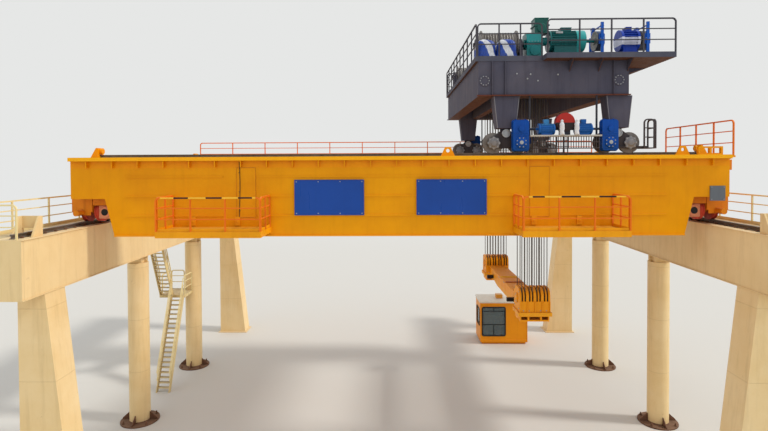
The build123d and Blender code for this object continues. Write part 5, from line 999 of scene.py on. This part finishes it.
gloss = {"Roughness": 0.42, "Specular IOR Level": 0.4}
sheen = add_node(tree, "BsdfPrincipled", gloss, {"Base Color": dirtied, "Normal": creased})
add_node(tree, "OutputMaterial", {}, {"Surface": sheen})
dress(tarpaulin, "wrapped_reducers")
around = full_turn(96)
deck_z = 16.002
rise = np.array(
    [0, 0.03, 0.1, 0.19, 0.28, 0.37, 0.45, 0.52, 0.575, 0.62, 0.655, 0.68, 0.7, 0.715, 0.723, 0.725]
)[:, None]
width = np.array(
    [0.39, 0.385, 0.38, 0.376, 0.373, 0.37, 0.365, 0.352, 0.33, 0.298, 0.265, 0.22, 0.17, 0.115, 0.06, 0.02]
)[:, None]
# Rings from the hem to the middle of the top: a rounded square whose corners soften towards the crown, with
# folds as waves in the turn that grow towards the hem.
squareness = np.linspace(5.5, 2.6, rise.size)[:, None]
square = (np.abs(np.cos(around)) ** squareness + np.abs(np.sin(around)) ** squareness) ** (-1 / squareness)
hang = 1 - rise / rise[-1]
for index, wrap_x in enumerate((3.485, 4.28)):
    folds = 0.012 * hang * np.cos(13 * around + 2.1 * index + 3 * rise)
    folds = folds + 0.008 * (0.3 + hang) * np.cos(23 * around - 9 * rise + index)
    folds = folds - 0.02 * np.exp(-(((rise - 0.33) / 0.035) ** 2))
    reach = width * square * (1 + folds / 0.36)
    lift = deck_z + rise + 0.012 * (1 - hang) * np.cos(3 * around + 1.7 * index)
    lift[0] = deck_z
    rings = np.stack([wrap_x + reach * np.cos(around), -6.72 + reach * np.sin(around), lift], axis=-1)
    points, faces = loft(rings, capped=False)
    corners = points[np.array(faces)]
    faces.append((np.arange(around.size) + around.size * (rise.size - 1)).tolist())
    wrap = add_piece(f"tarpaulin_{index + 1}", [(points, faces)], tarpaulin, "trolley", True)
    wrap.modifiers.new("thickness", "SOLIDIFY").thickness = 0.002
    if index == 0:
        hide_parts("wrapped_reducers")


# Lifting beam and lower blocks: welded box beam with a slotted block at each end, hanging from the ropes.
# Amber enamel with sandy dust along the top; cheek plates have a bolted cover over each sheave pin.
beam_enamel = painted_steel(
    "amber_enamel_on_lifting_beam", "#FFA806", "#F69C02", "#8A4E0C",
    ("lifting_beam", "lower_block_front", "lower_block_back"),
    # Downward faces take a darker amber painted shade.
    soiling=0.3, rusting=0.15, dust="#E2A05A", dusting=0.4, underside_shade="#C07408",
    areas=(
        ((4.9, -6.3, 5.67), (6.35, 2.6, 5.84), "#FBAA1A"),
        ((4.5, -1.42, 6.24), (6.7, -1.28, 6.6), "#FFCC1E"),
        ((4.5, -2.56, 6.24), (6.7, -2.44, 6.6), "#A82E26"),
    ),
)
painted_steel(
    "black_grease_on_trunnions", "#1E1C1C", "#2A2624", "#0E0C0C", ("lifting_trunnions",),
    soiling=0.5, rusting=0.3, dust="#5A5048", roughness=(0.3, 0.55),
)
lower_z = 6.33
upper_z = 15.05
pin_cover = [(0, 0.1), (0, 0.2), (0.015, 0.21), (0.035, 0.2), (0.04, 0.12), (0.055, 0.1), (0.06, 0.03)]
covers = []
block_bolts = []
for out, cheek_x in ((-1, 5), (1, 6.24)):
    covers.append(turned(pin_cover, (out, 0, 0), (cheek_x, 0, lower_z), 28))
    cover_face = (cheek_x + out * 0.036, 0, lower_z)
    block_bolts.append(bolt_circle(cover_face, (out, 0, 0), 0.165, 8, 0.017, start=pi / 8))
    block_bolts.append(bolts(lattice((cheek_x,), (-0.37, 0.37), (5.96, 6.66)), (out, 0, 0), 0.022))
for end in (-1, 1):
    block_bolts.append(bolts(lattice(np.linspace(5.16, 6.08, 5), (end * 0.49,), (5.9,)), (0, end, 0), 0.018))
beam_bolts = bolts(lattice((5.12, 6.12), (-2.58, -2.42, -1.43, -1.27), (6.252,)), (0, 0, 1), 0.02)
add_piece("sheave_pin_covers", [repeated(joined(covers), lattice(ys=hoist_rows))], beam_enamel, "load_beam", True)
block_bolts = repeated(joined(block_bolts), lattice(ys=hoist_rows))
add_piece("lower_block_bolts", [block_bolts, beam_bolts], bright_screw, "load_beam")


# Hoist ropes: galvanised wire rope round each row's sheaves, sixteen falls in each of the two rows.
# Dark grease fills the lay and the crowns of the strands shine; each fall stretches from trolley to load beam.
greased_rope = painted_steel(
    "greased_hoist_rope", "#6A6058", "#4E463E", "#221E1A", ("hoist_ropes",),
    soiling=0.4, rusting=0.15, dust="#9A9084", roughness=(0.35, 0.55), metallic=0.5,
)


def rope_fall(low, high, lays):
    """A straight fall of rope: three-lobed rings of twelve points stacked in Z, each turned a little more than
    the one below, so that the lobes climb as strands."""
    level = np.linspace(low, high, 121)[:, None]
    around = full_turn(12)
    twist = 2 * pi * lays * (level - low) / (high - low)
    reach = 0.0155 + 0.0025 * np.abs(np.cos(1.5 * (around - twist)))
    return loft(np.stack([reach * np.cos(around), reach * np.sin(around), np.tile(level, around.size)], axis=-1))


def rope_bight(z, over):
    """Half a turn of rope over (or, with over -1, under) a sheave: eight-point rings on a half circle of the
    falls' distance."""
    sweep = np.linspace(0, pi, 33)[:, None]
    around = full_turn(8)
    out = fall_y + 0.0175 * np.cos(around)
    across = np.tile(0.0175 * np.sin(around), (sweep.size, 1))
    return loft(np.stack([across, out * np.cos(sweep), z + over * out * np.sin(sweep)], axis=-1))


rope_x = 5.62
fall_y = 0.3923
grooves = rope_x + np.array([-0.51, -0.39, -0.21, -0.09, 0.09, 0.21, 0.39, 0.51])
falls = [
    repeated(rope_fall(lower_z, upper_z, hand * 26), lattice(grooves, np.add(hoist_rows, hand * fall_y)))
    for hand in (-1, 1)
]
ropes = add_piece("rope_falls", falls, greased_rope, None, True)
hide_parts("hoist_ropes")
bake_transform(ropes)
sheave_places = lattice(grooves, hoist_rows)
upper_bights = repeated(rope_bight(upper_z, 1), sheave_places)
lower_bights = repeated(rope_bight(lower_z, -1), sheave_places)
add_piece("rope_bights_above", [upper_bights], greased_rope, "trolley", True)
add_piece("rope_bights_below", [lower_bights], greased_rope, "load_beam", True)
